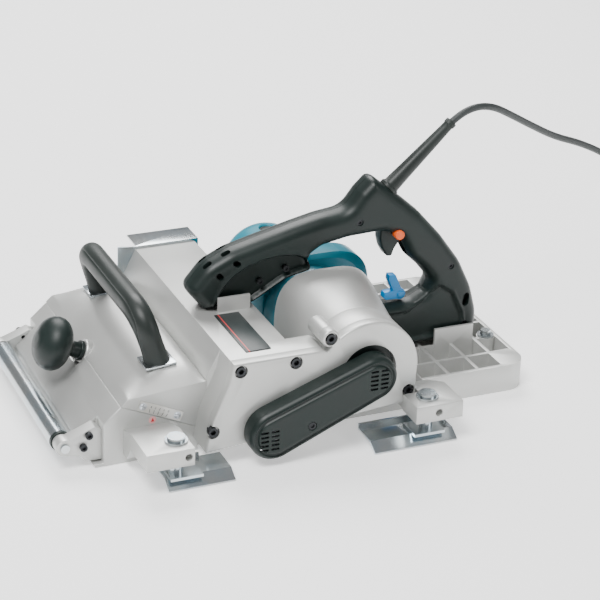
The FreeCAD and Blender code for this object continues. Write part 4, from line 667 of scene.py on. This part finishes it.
# handle
handleSettings = {
    "middle": -38.0,        # y of the seam
    "half": 24.0,
    "round": 17.0,          # width over which the section rounds off
    "power": 2.35,
    "gap": 0.25,            # half of the seam between the halves
    "outlineStep": 3.2,
    "rings": (0.35, 1.0, 2.0, 3.4, 5.2, 7.4, 10.0, 13.0, 16.5, 20.5),
    "pitch": 3.6,           # of the places inside the last ring
    "outline": (
        (-57, 143.3, 9), (13, 143.3, 4), (62, 171, 12), (103, 179, 9), (91, 199, 10), (112, 212, 25),
        (150, 219, 60), (199, 221, 9), (226, 213, 9), (244, 178, 14), (264, 159, 18), (282, 137, 12),
        (275, 121, 12), (253, 110, 14), (236, 107, 16), (190, 107, 9), (190, 62, 9), (226, 58, 6),
        (236, 40.3, 6), (352, 40.3, 9), (358, 76, 60), (346, 119, 90), (326, 160, 90), (295, 202, 90),
        (259, 242, 60), (234, 264, 9), (186, 303, 8), (166, 284, 20), (148, 260, 30), (109, 255, 90),
        (73, 247, 90), (25, 235, 90), (-22, 223, 60), (-55, 207, 50), (-82, 175, 12)),
    "web": (
        (-45, 150), (8, 149), (56, 177), (97, 187), (90, 200), (74, 208), (52, 211), (26, 209), (2, 202),
        (-17, 192), (-31, 178), (-40, 164)),
    "webDeep": 9.0,
    "foot": (
        (204, 98), (244, 98), (270, 112), (292, 132), (312, 118), (328, 84), (332, 54), (240, 52),
        (232, 66), (204, 70)),
    "footDeep": 4.0,
    "bead": 1.1,            # height of the lip round a set-back panel
    "panelStep": 2.4,       # of the places along a panel's edge
    "panelRows": (-3.6, -2.2, -0.8, 0.8, 2.0, 3.4, 5),      # their distances from it
    "dimples": ((164, 243), (307, 158), (58, 190), (21, 176), (334, 66), (212, 84)),
    "dimple": (4.4, 5.4),   # radius, and radius of its mouth
    "dimpleDeep": {-1: 14, 1: 4},
    "vents": ((-14, 208, 12, 8, 30), (-38, 193, 12, 8, 45), (334, 103, 10, 20, 8)),
    "topVents": ((-26, 221, 26), (-51, 206, 38)),   # place on the upper edge, and its slope
    "triggerRoom": ((196, 213), (196, 172), (233, 172), (262, 186), (262, 243), (199, 243), (199, 223)),
    "triggerHalf": 10.4,
    "guardBore": (22.0, 12.3),      # depth from the guard's root, and radius
    "buttonHole": (224, 217, 7.1),
}
guardWay = Vector((0.73, 0, 0.684)).normalized()
guardRoot = mm(213.32, handleSettings["middle"], 277.16)


def nearestOnLoop(point, loop):
    best = math.inf
    for start, end in zip(loop, loop[1:] + loop[:1]):
        run = end - start
        share = min(max((point - start).dot(run) / max(run.length_squared, 1e-9), 0), 1)
        best = min(best, (point - start - run * share).length)
    return best


def insideLoop(point, loop):
    inside = False
    for start, end in zip(loop, loop[1:] + loop[:1]):
        if (start.y > point.y) != (end.y > point.y):
            if point.x < start.x + (point.y - start.y) * (end.x - start.x) / (end.y - start.y):
                inside = not inside
    return inside


def depthInside(point, loop):
    # distance from the loop's edge, negative outside
    return nearestOnLoop(point, loop) * (1 if insideLoop(point, loop) else -1)


def handleHeight(point, depth, settings, panels):
    # half thickness of the handle at a place, from its distance to the outline
    share = 1 - min(depth, settings["round"]) / settings["round"]
    power = settings["power"]
    height = settings["half"] * (1 - share ** power) ** (1 / power)
    for loop, deep in panels:
        inside = depthInside(point, loop)
        height -= deep * eased(inside, -0.5, 3.5)
        if depth > 3:
            height += settings["bead"] * eased(inside, -5, -2.6) * (1 - eased(inside, -2.6, -0.2))
    return max(height, 0)


def ringPlaces(outline, settings):
    # places at each ring's distance inside the outline
    count = len(outline)
    area = sum(a.x * b.y - b.x * a.y for a, b in zip(outline, outline[1:] + outline[:1]))
    turn = 1 if area > 0 else -1
    places = []
    for ring in settings["rings"]:
        for i, point in enumerate(outline):
            along = (outline[(i + 1) % count] - outline[i - 1]).normalized()
            inner = point + Vector((-along.y, along.x)) * ring * turn
            if insideLoop(inner, outline) and nearestOnLoop(inner, outline) > ring * 0.97 - 0.02:
                places.append(inner)
    return places


def innerPlaces(outline, settings):
    # a staggered grid inside the last ring
    pitch = settings["pitch"]
    lows = [min(p[k] for p in outline) for k in (0, 1)]
    highs = [max(p[k] for p in outline) for k in (0, 1)]
    columns, rows = (int((high - low) / pitch) for low, high in zip(lows, highs))
    places = []
    for row in range(rows):
        for column in range(columns):
            spot = Vector((lows[0] + (column + 0.5 * (row % 2)) * pitch, lows[1] + row * pitch))
            if insideLoop(spot, outline) and nearestOnLoop(spot, outline) > settings["rings"][-1] + 1.5:
                places.append(spot)
    return places


def panelPlaces(outline, loop, settings):
    # rows of places along a set-back panel's edge
    places = []
    for start, end in zip(loop, loop[1:] + loop[:1]):
        across = Vector((-(end - start).y, (end - start).x)).normalized()
        pieces = max(2, round((end - start).length / settings["panelStep"]))
        for k in range(pieces):
            for shift in settings["panelRows"]:
                spot = start.lerp(end, k / pieces) + across * shift
                if depthInside(spot, outline) > 2:
                    places.append(spot)
    return places


def handleForm(settings):
    # places in the plane of the seam, their triangles and their heights
    step = settings["outlineStep"]
    arcs = roundedOutline(settings["outline"], step)
    outline = []
    for start, end in zip(arcs, arcs[1:] + arcs[:1]):
        pieces = max(1, round((end - start).length / step))
        outline += [start.lerp(end, k / pieces) for k in range(pieces)]
    panels = [([Vector(corner) for corner in settings[name]], settings[name + "Deep"])
              for name in ("web", "foot")]
    places = outline + ringPlaces(outline, settings) + innerPlaces(outline, settings)
    for loop, _ in panels:
        places += panelPlaces(outline, loop, settings)
    count = len(outline)
    edges = [(i, (i + 1) % count) for i in range(count)]
    spots, _, faces = delaunay_2d_cdt(places, edges, [], 1, 0.05)[:3]
    heights = []
    for spot in spots:
        depth = nearestOnLoop(spot, outline)
        heights.append(0 if depth < 0.06 else handleHeight(spot, depth, settings, panels))
    return spots, faces, heights


def handleCutters(way, settings):
    # what is cut from one half: dimples, vents, and room for the trigger, guard and button
    middle = settings["middle"]
    outer = middle + way * settings["half"]
    deep = settings["dimpleDeep"][way]
    radius, mouth = settings["dimple"]
    cutters = []
    for x, z in settings["dimples"]:
        profile = ((0, radius), (deep - 3, radius), (deep + 4, mouth))
        cutters.append(latheMesh(mm(x, outer - way * deep, z), Vector((0, way, 0)), profile, "dimple", 32))
    for x, z, across, tall, turn in settings["vents"]:
        vent = pillMesh(max(across, tall), min(across, tall), 26)
        upright = turnBy(0 if across > tall else 90, "Z")
        cutters.append(turnedMesh(vent, upright, turnBy(90, "X"), turnBy(turn, "Y"), moveBy(x, outer, z)))
    for x, z, slope in settings["topVents"]:
        vent = pillMesh(14, 7.5, 22)
        cutters.append(turnedMesh(vent, turnBy(-slope, "Y"), moveBy(x, middle + way * 10, z)))
    room = settings["triggerHalf"]
    cutters.append(loftMesh(
        [[mm(x, y, z) for x, z in settings["triggerRoom"]] for y in (middle - room, middle + room)], "room"))
    deep, radius = settings["guardBore"]
    root = guardRoot - guardWay * deep / 1000
    cutters.append(latheMesh(root, guardWay, ((0, radius), (40, radius)), "guardBore", 40))
    if way < 0:
        x, z, radius = settings["buttonHole"]
        start = mm(x, outer - 3, z)
        cutters.append(latheMesh(start, Vector((0, 1, 0)), ((0, radius), (30, radius)), "buttonHole", 40))
    return cutters


def handleHalf(form, way, settings):
    spots, faces, heights = form
    base = settings["middle"] + way * settings["gap"]
    mesh = bmesh.new()
    flat, raised = [], []
    for spot, height in zip(spots, heights):
        flat.append(mesh.verts.new(mm(spot.x, base, spot.y)))
        top = base + way * max(height - settings["gap"], 0)
        raised.append(mesh.verts.new(mm(spot.x, top, spot.y)) if height > settings["gap"] else flat[-1])
    for face in faces:
        if any(raised[i] is not flat[i] for i in face):
            mesh.faces.new([raised[i] for i in face])
            mesh.faces.new([flat[i] for i in reversed(face)])
    bmesh.ops.delete(mesh, geom=[v for v in mesh.verts if not v.link_faces], context="VERTS")
    return carved(toMesh(mesh, "handleHalf"), handleCutters(way, settings))


halfForm = handleForm(handleSettings)
for way, side in ((-1, "near"), (1, "far")):
    standIn("handle" + side.title(), handleHalf(halfForm, way, handleSettings), "handle_" + side, 40)
print("handle done")


# belt cover
beltSettings = {
    "drum": (-28, 44), "motor": (112, 101),
    "low": 35.0, "high": 31.0,
    "rings": (              # inset and y: side wall, chamfer, raised edge, groove, raised edge, face
        (0, -218.2), (0, -236.5), (0.6, -238.5), (2.6, -241.6), (4.2, -243.0), (5.2, -243.4),
        (6.2, -243.0), (7.0, -241.9), (9.6, -241.9), (10.4, -243.0), (11.2, -244.4), (12.4, -245),
        (16, -245)),
    "arcPieces": 36, "runPieces": 9,
    "hollow": (3.2, -241.8, -217.2),    # inset, and y of its floor and of its open side
    "face": -245,
    "vents": ((-37, 40, 2, 5), (115, 102, 2, 5)),
    "slot": (11.5, 3.3, 14.5, 6.3),     # length, width, and the pitches
    "screw": (22, 51),
    "boss": (-218.4, ((0, 8), (24.5, 8))),
    "recess": (-241, ((0, 6), (3.4, 6), (4.4, 7.4), (6, 7.4))),
}


def beltRing(settings, inset, y):
    # two arcs joined by the runs that touch both
    one, two = Vector(settings["drum"]), Vector(settings["motor"])
    low, high = settings["low"] - inset, settings["high"] - inset
    run = two - one
    heading = math.atan2(run.y, run.x)
    spread = math.acos((low - high) / run.length)
    arcs = (
        (one, low, heading + spread, heading - spread + 2 * math.pi),
        (two, high, heading - spread, heading + spread))
    ring = []
    for centre, radius, start, end in arcs:
        for k in range(settings["arcPieces"] + 1):
            angle = start + (end - start) * k / settings["arcPieces"]
            ring.append((centre.x + radius * math.cos(angle), centre.y + radius * math.sin(angle)))
    points = []
    for i, (x, z) in enumerate(ring):
        nextX, nextZ = ring[(i + 1) % len(ring)]
        pieces = settings["runPieces"] if math.hypot(nextX - x, nextZ - z) > 60 else 1
        points += [mm(x + (nextX - x) * k / pieces, y, z + (nextZ - z) * k / pieces)
                   for k in range(pieces)]
    return points


def addBeltCover(settings):
    cover = loftMesh([beltRing(settings, inset, y) for inset, y in settings["rings"]], "beltCover")
    inset, deep, mouth = settings["hollow"]
    cutters = [loftMesh([beltRing(settings, inset, y) for y in (deep, mouth)], "hollow")]
    long, wide, across, along = settings["slot"]
    for x, z, columns, rows in settings["vents"]:
        slots = gridOf("coverSlots", pillMesh(long, wide, 10), "dark_plastic", columns, rows, across, along)
        cutters.append(turnedMesh(slots, turnBy(90, "X"), moveBy(x, settings["face"], z)))
    cover = carved(cover, cutters)
    x, z = settings["screw"]
    outward = Vector((0, -1, 0))
    for name, operation in (("boss", "UNION"), ("recess", "DIFFERENCE")):
        start, profile = settings[name]
        cover = carved(cover, [latheMesh(mm(x, start, z), outward, profile, name, 40)], operation)
    standIn("beltCover", cover, "belt_cover", 32)


addBeltCover(beltSettings)
print("belt cover done")


# knob, arch grip and cord guard
rampTurn = turnBy(24.2, "Y")
rampWay = rampTurn @ Vector((1, 0, 0))
knobSettings = {
    "root": (-212, 0, 82.4),
    "lift": 1.5,            # of its axis above the root
    "profile": (            # along the ramp from its front end, and the radius
        (-1.2, 6.2), (-1.2, 13), (-1.8, 13.6), (-5.6, 13.6), (-6.4, 13), (-6.6, 11.2), (-13, 10.6),
        (-18, 11), (-22, 13.5), (-24.4, 18.5), (-26, 24), (-28.6, 29.4), (-33, 33.8), (-38.5, 36.4),
        (-44.5, 37), (-51, 35.6), (-57, 32), (-62, 26.5), (-65.6, 19.5), (-67.4, 13.4), (-67.9, 12.6),
        (-67.9, 11.4), (-68.3, 10.6), (-68.4, 4), (-68.4, 0.5)),
}
knobRoot = mm(*knobSettings["root"]) + rampTurn @ Vector((0, 0, 1)) * (knobSettings["lift"] / 1000)
knobMesh = latheMesh(knobRoot, rampWay, knobSettings["profile"], "depthKnob", 72)
standIn("depthKnob", knobMesh, "depth_knob", 45)

archSettings = {
    "corners": ((-141, -118, 96.5), (-165, -112, 179), (-165, 124, 178), (-141, 118, 96.5)),
    "bend": 38.0,           # length of each corner that the bend takes up
    "bendSteps": 14,
    "runStep": 9.0,
    "radius": 17.2,
    "flare": 1.16,          # share by which the feet are thicker
    "flareReach": 40.0,
    "squash": 0.9,
    "groove": 0.9,
    "plate": (-149.65, 0, 95.6),        # middle of the foot plates, which slope by rise and run
    "slope": (8.8, 106.7),
    "plateTop": 99.2,       # before the slope
}


def roundedPath(settings):
    # straight runs joined by soft bends
    corners = [mm(*corner) for corner in settings["corners"]]
    bend, steps = settings["bend"] / 1000, settings["bendSteps"]
    points = [corners[0]]
    for before, corner, after in zip(corners, corners[1:], corners[2:]):
        first = corner + (before - corner).normalized() * bend
        last = corner + (after - corner).normalized() * bend
        for k in range(steps + 1):
            t = k / steps
            points.append(first * (1 - t) ** 2 + corner * 2 * t * (1 - t) + last * t * t)
    points.append(corners[-1])
    full = []
    for start, end in zip(points, points[1:]):
        pieces = max(1, round((end - start).length * 1000 / settings["runStep"]))
        full += [start.lerp(end, k / pieces) for k in range(pieces)]
    return full + [points[-1]]


def sweep(form, path, radii, facing, groove, squash, count=64):
    # a round tube along points; radii in millimetres, one for each point; a seam groove of that
    # depth runs along the side that faces the given way
    ahead = [(after - before).normalized() for before, after in zip(path, path[1:])]
    ways = [ahead[0]] + [(a + b).normalized() for a, b in zip(ahead, ahead[1:])] + [ahead[-1]]
    turns = [2 * math.pi * i / count for i in range(count)]
    rings = []
    for point, way, radius in zip(path, ways, radii):
        side = (facing - way * facing.dot(way)).normalized()
        other = way.cross(side)
        reaches = [radius - groove] + [radius] * (count - 1)
        rings.append([
            point + (side * math.cos(t) * squash + other * math.sin(t)) * reach / 1000
            for t, reach in zip(turns, reaches)])
    loft(form, rings)


def addArchGrip(settings):
    path = roundedPath(settings)
    total = sum((b - a).length for a, b in zip(path, path[1:]))
    radii, gone = [], 0
    for i, point in enumerate(path):
        gone += (point - path[i - 1]).length if i else 0
        toFoot = min(gone, total - gone) * 1000
        thinner = (settings["flare"] - 1) * eased(toFoot, 0, settings["flareReach"])
        radii.append(settings["radius"] * (settings["flare"] - thinner))
    form = bmesh.new()
    sweep(form, path, radii, Vector((-0.8, 0, 0.6)), settings["groove"], settings["squash"])
    x, y, z = settings["plate"]
    under = boxMesh((-260, -200, 20), (-60, 200, settings["plateTop"]))
    slope = Matrix.Rotation(-math.atan2(*settings["slope"]), 4, "Y")
    turnedMesh(under, moveBy(-x, -y, -z), slope, moveBy(x, y, z))
    grip = carved(toMesh(form, "archGrip"), [under])
    standIn("archGrip", grip, "arch_grip", 40)


addArchGrip(archSettings)

guardSettings = {
    "profile": (            # along the guard from its root, and the radius
        (-21, 10), (-21, 12), (0.4, 12), (0.8, 13.4), (1.6, 14), (5.4, 14), (6.4, 13.2), (7.2, 12.2),
        (9, 11.6), (34, 10.4), (60, 9.4), (88, 8.3), (112, 7.3), (119, 7.1), (120.4, 7.6), (121, 8.2),
        (126, 8.2), (127, 7.6), (127, 5.08), (108, 5.08)),
}
guardMesh = latheMesh(guardRoot, guardWay, guardSettings["profile"], "cordGuard")
standIn("cordGuard", guardMesh, "cord_guard", 32)
print("grips done")


# trigger
triggerSettings = {
    "outline": (
        (203, 224, 4), (202, 208, 12), (206, 193, 14), (213, 181, 4), (221, 180, 3), (224, 190, 8),
        (231, 201, 8), (247, 205, 5), (247, 226, 5), (222, 236, 6), (206, 235, 4)),
    "half": 9.8,
    "round": 2.4,
}


def addTrigger(settings):
    outline = roundedOutline(settings["outline"], 1.6)
    middle, half = handleSettings["middle"], settings["half"]
    sides = (middle - half, middle + half)
    block = loftMesh([[mm(p.x, y, p.y) for p in outline] for y in sides], "trigger")
    standIn("trigger", rounded(block, settings["round"], 4, 50), "trigger", 40)


addTrigger(triggerSettings)
print("trigger done")


# hood
hoodSettings = {
    "half": 168.0,
    "section": ((-212, 82.85), (-203, 91.2), (-96.3, 100)),     # top edge of the sides
    "ramp": (82.55, 24.2),  # height of the underside in front, and its slope in degrees
    "crown": 18.5,
    "front": 66.0,          # widths over which the crown rises, from each edge
    "rear": 24.0,
    "side": 56.0,
    "power": 2.3,
    "nose": 60.0,           # width over which the steep nose melts away from the sides
    "softPower": 1.6,
    "edge": 1.7,
    "cells": (54, 108),
    "boss": ((-1, 16), (0.4, 17), (14, 17)),    # round the knob's screw
    "bore": ((-8, 7), (9, 7)),
}


def crownShare(distance, width, power):
    return 1 - (1 - min(max(distance / width, 0), 1)) ** power


def hoodHeight(x, y, settings):
    # the sides keep a short steep nose, which melts into one soft slope towards the middle
    (x0, z0), (x1, z1), (x2, z2) = settings["section"]
    steep = z0 + (x - x0) * (z1 - z0) / (x1 - x0) if x < x1 else z1 + (x - x1) * (z2 - z1) / (x2 - x1)
    soft = z0 + (z2 - z0) * (1 - (1 - (x - x0) / (x2 - x0)) ** settings["softPower"])
    inward = settings["half"] - abs(y)
    rise = settings["crown"]
    for distance, edge in ((inward, "side"), (x - x0, "front"), (x2 - x, "rear")):
        rise *= crownShare(distance, settings[edge], settings["power"])
    return steep + (soft - steep) * eased(inward, 0, settings["nose"]) + rise


def addHood(settings):
    form = bmesh.new()
    half = settings["half"]
    columns, rows = settings["cells"]
    x0, x1 = settings["section"][0][0], settings["section"][2][0]
    layers = []
    for row in range(rows + 1):
        y = -half + 2 * half * row / rows
        spots = [x0 + (x1 - x0) * column / columns for column in range(columns + 1)]
        layers.append([form.verts.new(mm(x, y, hoodHeight(x, y, settings))) for x in spots])
    for lower, upper in zip(layers, layers[1:]):
        for i in range(columns):
            form.faces.new((lower[i], lower[i + 1], upper[i + 1], upper[i]))
    edge = [e for e in form.edges if e.is_boundary]
    made = bmesh.ops.extrude_edge_only(form, edges=edge)["geom"]
    front, slope = settings["ramp"]
    for vert in (v for v in made if isinstance(v, bmesh.types.BMVert)):
        vert.co.z = front / 1000 - (vert.co.x - x0 / 1000) * math.tan(math.radians(slope))
    bmesh.ops.holes_fill(form, edges=[e for e in form.edges if e.is_boundary], sides=0)
    hood = rounded(toMesh(form, "frontHood"), settings["edge"], 3, 33)
    for name, operation, count in (("boss", "UNION", 48), ("bore", "DIFFERENCE", 40)):
        hood = carved(hood, [latheMesh(knobRoot, rampWay, settings[name], name, count)], operation)
    standIn("frontHood", hood, "front_hood", 30)


addHood(hoodSettings)
print("hood done")


# motor housing
motorSettings = {
    "axis": (112, 101),
    "collar": (             # y and radius
        (-63.6, 58), (-63.6, 64), (-20, 64), (-14, 66), (-11, 66), (-10, 64.6), (-8.6, 64.6),
        (-7.6, 66), (40, 66)),
    "end": (                # y and radius of the domed far end
        (36, 58), (36, 62), (104, 62), (104.4, 60.8), (106.2, 60.8), (106.6, 62), (150, 62),
        (160, 61), (168, 58), (175, 53), (180, 46), (183, 38), (184.5, 28), (185, 14), (185, 0.5)),
    "belly": (              # y, middle x, half width, half height and squareness
        (-11, 120, 75, 73, 3.0), (-3, 126, 82, 78, 3.4), (29, 126, 82, 78, 3.4), (38, 122, 78, 75, 3.0),
        (45, 116, 71, 70, 2.6)),
    "bellyRound": 3.5,
    "floor": 26.4,
    "capY": 140.0,          # of the brush caps
    "recess": (54.5, ((0, 11.6), (5.4, 11.6), (7.6, 14.0), (12, 14.0))),    # from the axis, and profile
    "cap": (54.6, ((0, 11), (3.6, 11), (4.6, 10.2), (4.6, 8.6), (4, 8), (4, 0.4))),
    "coinSlot": (7.0, 1.1, 57.4, -2, 3),    # half length, half width, middle, and its span up and down
    "slots": (20, 3.4, 30, 5, 8),       # length, width and depth of a cooling slot, count and pitch
    "slotsAt": (60, 128),   # from the axis, and y
}


def squareRing(x, z, halfWide, halfHigh, power, y, count=96):
    ring = []
    for i in range(count):
        turn = 2 * math.pi * i / count
        across = math.copysign(abs(math.cos(turn)) ** (2 / power), math.cos(turn))
        up = math.copysign(abs(math.sin(turn)) ** (2 / power), math.sin(turn))
        ring.append(mm(x + halfWide * across, y, z + halfHigh * up))
    return ring


def addMotorHousing(settings):
    x, z = settings["axis"]
    along = Vector((0, 1, 0))
    belly = loftMesh([
        squareRing(middle, z, wide, high, power, y)
        for y, middle, wide, high, power in settings["belly"]], "belly")
    housing = carved(
        latheMesh(mm(x, 0, z), along, settings["collar"], "motorHousing", 96),
        [rounded(belly, settings["bellyRound"], 4, 28),
         latheMesh(mm(x, 0, z), along, settings["end"], "end", 96)], "UNION")
    cutters = [boxMesh((x - 120, -120, -60), (x + 120, 220, settings["floor"]))]
    capY = settings["capY"]
    start, profile = settings["recess"]
    for way in (-1, 1):
        cutters.append(latheMesh(mm(x, capY, z + way * start), Vector((0, 0, way)), profile, "recess"))
    long, wide, deep, rows, pitch = settings["slots"]
    reach, slotY = settings["slotsAt"]
    for side in (-1, 1):
        slots = gridOf("motorSlots", pillMesh(long, wide, deep), "teal_plastic", 1, rows, pitch, pitch)
        place = moveBy(x + side * reach, slotY, z)
        cutters.append(turnedMesh(slots, turnBy(90, "Z"), turnBy(90, "Y"), place))
    standIn("motorHousing", carved(housing, cutters), "motor_housing", 34)


def addBrushCaps(settings):
    x, z = settings["axis"]
    capY = settings["capY"]
    start, profile = settings["cap"]
    long, wide, middle, low, high = settings["coinSlot"]
    form = bmesh.new()
    cutters = []
    for way in (-1, 1):
        lathe(form, mm(x, capY, z + way * start), Vector((0, 0, way)), profile, 40)
        base = z + way * middle
        cutters.append(boxMesh((x - long, capY - wide, base + low), (x + long, capY + wide, base + high)))
    standIn("brushCaps", carved(toMesh(form, "brushCaps"), cutters), "brush_caps", 34)


addMotorHousing(motorSettings)
addBrushCaps(motorSettings)
print("motor housing done")

# the rear sole's triangles aren't merged, because merging them leaves holes between its ribs
standIn("rearBase", softCopy("rear_base", 1.5, 3, 0), "rear_base")


# depth scale
scaleSettings = {
    "root": (-212, -168, 82.4),     # front end of the ramp, on the sole's side
    "front": -1.36,         # y of the marks, from the side
    "numbers": "43210",
    "first": 39.0,          # along the ramp from its front end to the first tick
    "pitch": 6.4,
    "fan": 7.0,             # degrees between ticks
    "tick": (0.25, 2.4, 5.2),       # half width, half height, and height of its middle
    "digit": (4.2, 9.4),    # size, and height of its foot
    "screws": (28, 79),
    "screwZ": 8.6,
    "head": ((0, 5.2), (0.5, 5.2), (0.7, 4), (1.4, 3.9), (2.3, 2.9), (2.7, 1.4), (2.75, 0.2)),
    "cross": (2.8, 0.5, 40),        # half length, half width and turn of the screw's cross
    "pointer": (-170, 56.5),
    "pointerDot": ((-0.5, 5), (0.25, 5), (0.4, 4.8)),
    "arrow": ((-2.2, -2), (2.2, -2), (0.4, 3.4)),
    "arrowY": (-168.3, -168.62),
}
scaleWay = moveBy(*scaleSettings["root"]) @ rampTurn


def digitMesh(character, size):
    text = bpy.data.curves.new("digit", "FONT")
    text.body = character
    text.size = size / 1000
    text.extrude = 0.0001
    text.resolution_u = 3
    text.align_x = "CENTER"
    return evaluated(helper(text, "digit"), "digit")


def addScaleMarks(settings):
    half, tall, tickZ = settings["tick"]
    size, digitZ = settings["digit"]
    front = settings["front"]
    middle = (len(settings["numbers"]) - 1) / 2
    marks = []
    for i, character in enumerate(settings["numbers"]):
        along = settings["first"] + i * settings["pitch"]
        lean = turnBy((i - middle) * settings["fan"], "Y")
        tick = boxMesh((-half, -0.12, -tall), (half, 0.1, tall))
        marks.append(turnedMesh(tick, lean, moveBy(along, front, tickZ), scaleWay))
        digit = digitMesh(character, size)
        marks.append(turnedMesh(digit, turnBy(90, "X"), moveBy(along, front, digitZ), scaleWay))
    addPiece("scaleMarks", joined(marks, "scaleMarks"), "dark_plastic", "scale_plate")


def addScaleScrews(settings):
    long, wide, turn = settings["cross"]
    heads = bmesh.new()
    cutters = []
    for along in settings["screws"]:
        lathe(heads, mm(along, -1.3, settings["screwZ"]), Vector((0, -1, 0)), settings["head"], 36)
        for angle in (turn, turn + 90):
            slot = boxMesh((-long, -1.3, -wide), (long, 1.5, wide))
            place = moveBy(along, -4.2, settings["screwZ"])
            cutters.append(turnedMesh(slot, turnBy(angle, "Y"), place, scaleWay))
    heads.transform(scaleWay)
    standIn("scaleScrews", carved(toMesh(heads, "scaleScrews"), cutters), "scale_screws", 30)


def addPointer(settings):
    x, z = settings["pointer"]
    centre = mm(x, settings["root"][1], z)
    dot = latheMesh(centre, Vector((0, -1, 0)), settings["pointerDot"], "pointerDot", 40)
    pink = mouldedPlastic("pointerFilm", (0.75, 0.36, 0.36), 0.35, 0.05)
    addPiece("pointerDot", dot, "label_film", "front_base", 30, pink)
    arrow = loftMesh([
        [mm(x + a, y, z + b) for a, b in settings["arrow"]] for y in settings["arrowY"]], "pointerArrow")
    red = mouldedPlastic("pointerRed", (0.5, 0.02, 0.03), 0.35, 0.05)
    addPiece("pointerArrow", arrow, "label_film", "front_base", 30, red)


addScaleMarks(scaleSettings)
addScaleScrews(scaleSettings)
addPointer(scaleSettings)
print("scale done")


# small parts, and a dark ring of painted shade in the gearcase's recess
# a thin dark ring on the gearcase round the motor's axis: painted shade, which stands for the shade inside
# the recess there
recessShadeSettings = {
    "middle": (112, -209.2, 101),
    "radii": (38.7, 11.5),
    "thick": 0.7,
    "edge": 0.1,
}
sealSettings = {
    "axis": (-285, 32),
    "radii": (13.4, 6.6),
    "inner": 136.2, "thick": 4.6,
    "edge": 0.4,
}
tieSettings = {
    "angle": 200,           # degrees round the coil
    "half": 2.3,
    "inside": (45.2, 77.6),     # from the coil's middle
    "thick": 1.0,
    "low": (0.02, 0.16),    # height of its underside, and of its inside
    "top": (42.0, 41.2),
}


def ringMesh(centre, axis, radii, length, edge):
    outer, inner = radii
    profile = ((0, outer - edge), (edge, outer), (length - edge, outer), (length, outer - edge))
    hole = latheMesh(centre - axis * 0.002, axis, ((0, inner), (length + 4, inner)), "hole")
    return carved(latheMesh(centre, axis, profile, "ring", 64), [hole])


# lays the thin dark ring of painted shade on the floor of the gearcase's recess round the motor's axis
def addRecessShade(settings):
    shadeSheet = ringMesh(
        mm(*settings["middle"]), Vector((0, -1, 0)), settings["radii"], settings["thick"], settings["edge"])
    addPiece("recessLining", shadeSheet, "dark_plastic", "gearcase")


def addSeals(settings):
    x, z = settings["axis"]
    seals = [
        ringMesh(mm(x, way * settings["inner"], z), Vector((0, way, 0)), settings["radii"],
                 settings["thick"], settings["edge"])
        for way in (-1, 1)]
    addPiece("rollerSeals", joined(seals, "rollerSeals"), "dark_plastic", "roller_arms")


def addTie(settings):
    near, far = settings["inside"]
    half, thick = settings["half"], settings["thick"]
    (low, lowInside), (top, topInside) = settings["low"], settings["top"]
    band = boxMesh((near - thick, -half, low), (far + thick, half, top))
    tie = carved(band, [boxMesh((near, -2 * half, lowInside), (far, 2 * half, topInside))])
    turnedMesh(tie, turnBy(settings["angle"], "Z"), moveBy(*leadSettings["coilMiddle"], 0))
    addPiece("leadTie", tie, "dark_plastic", "mains_lead")


addRecessShade(recessShadeSettings)
addSeals(sealSettings)
addTie(tieSettings)
print("small parts done")


# CAD nodes that stay
for nodeName, node in frame["nodes"].items():
    finishName = "black_screw" if nodeName == "handle_screws" else slotOf[nodeName]
    node.data.materials.clear()
    node.data.materials.append(finishes[finishName])
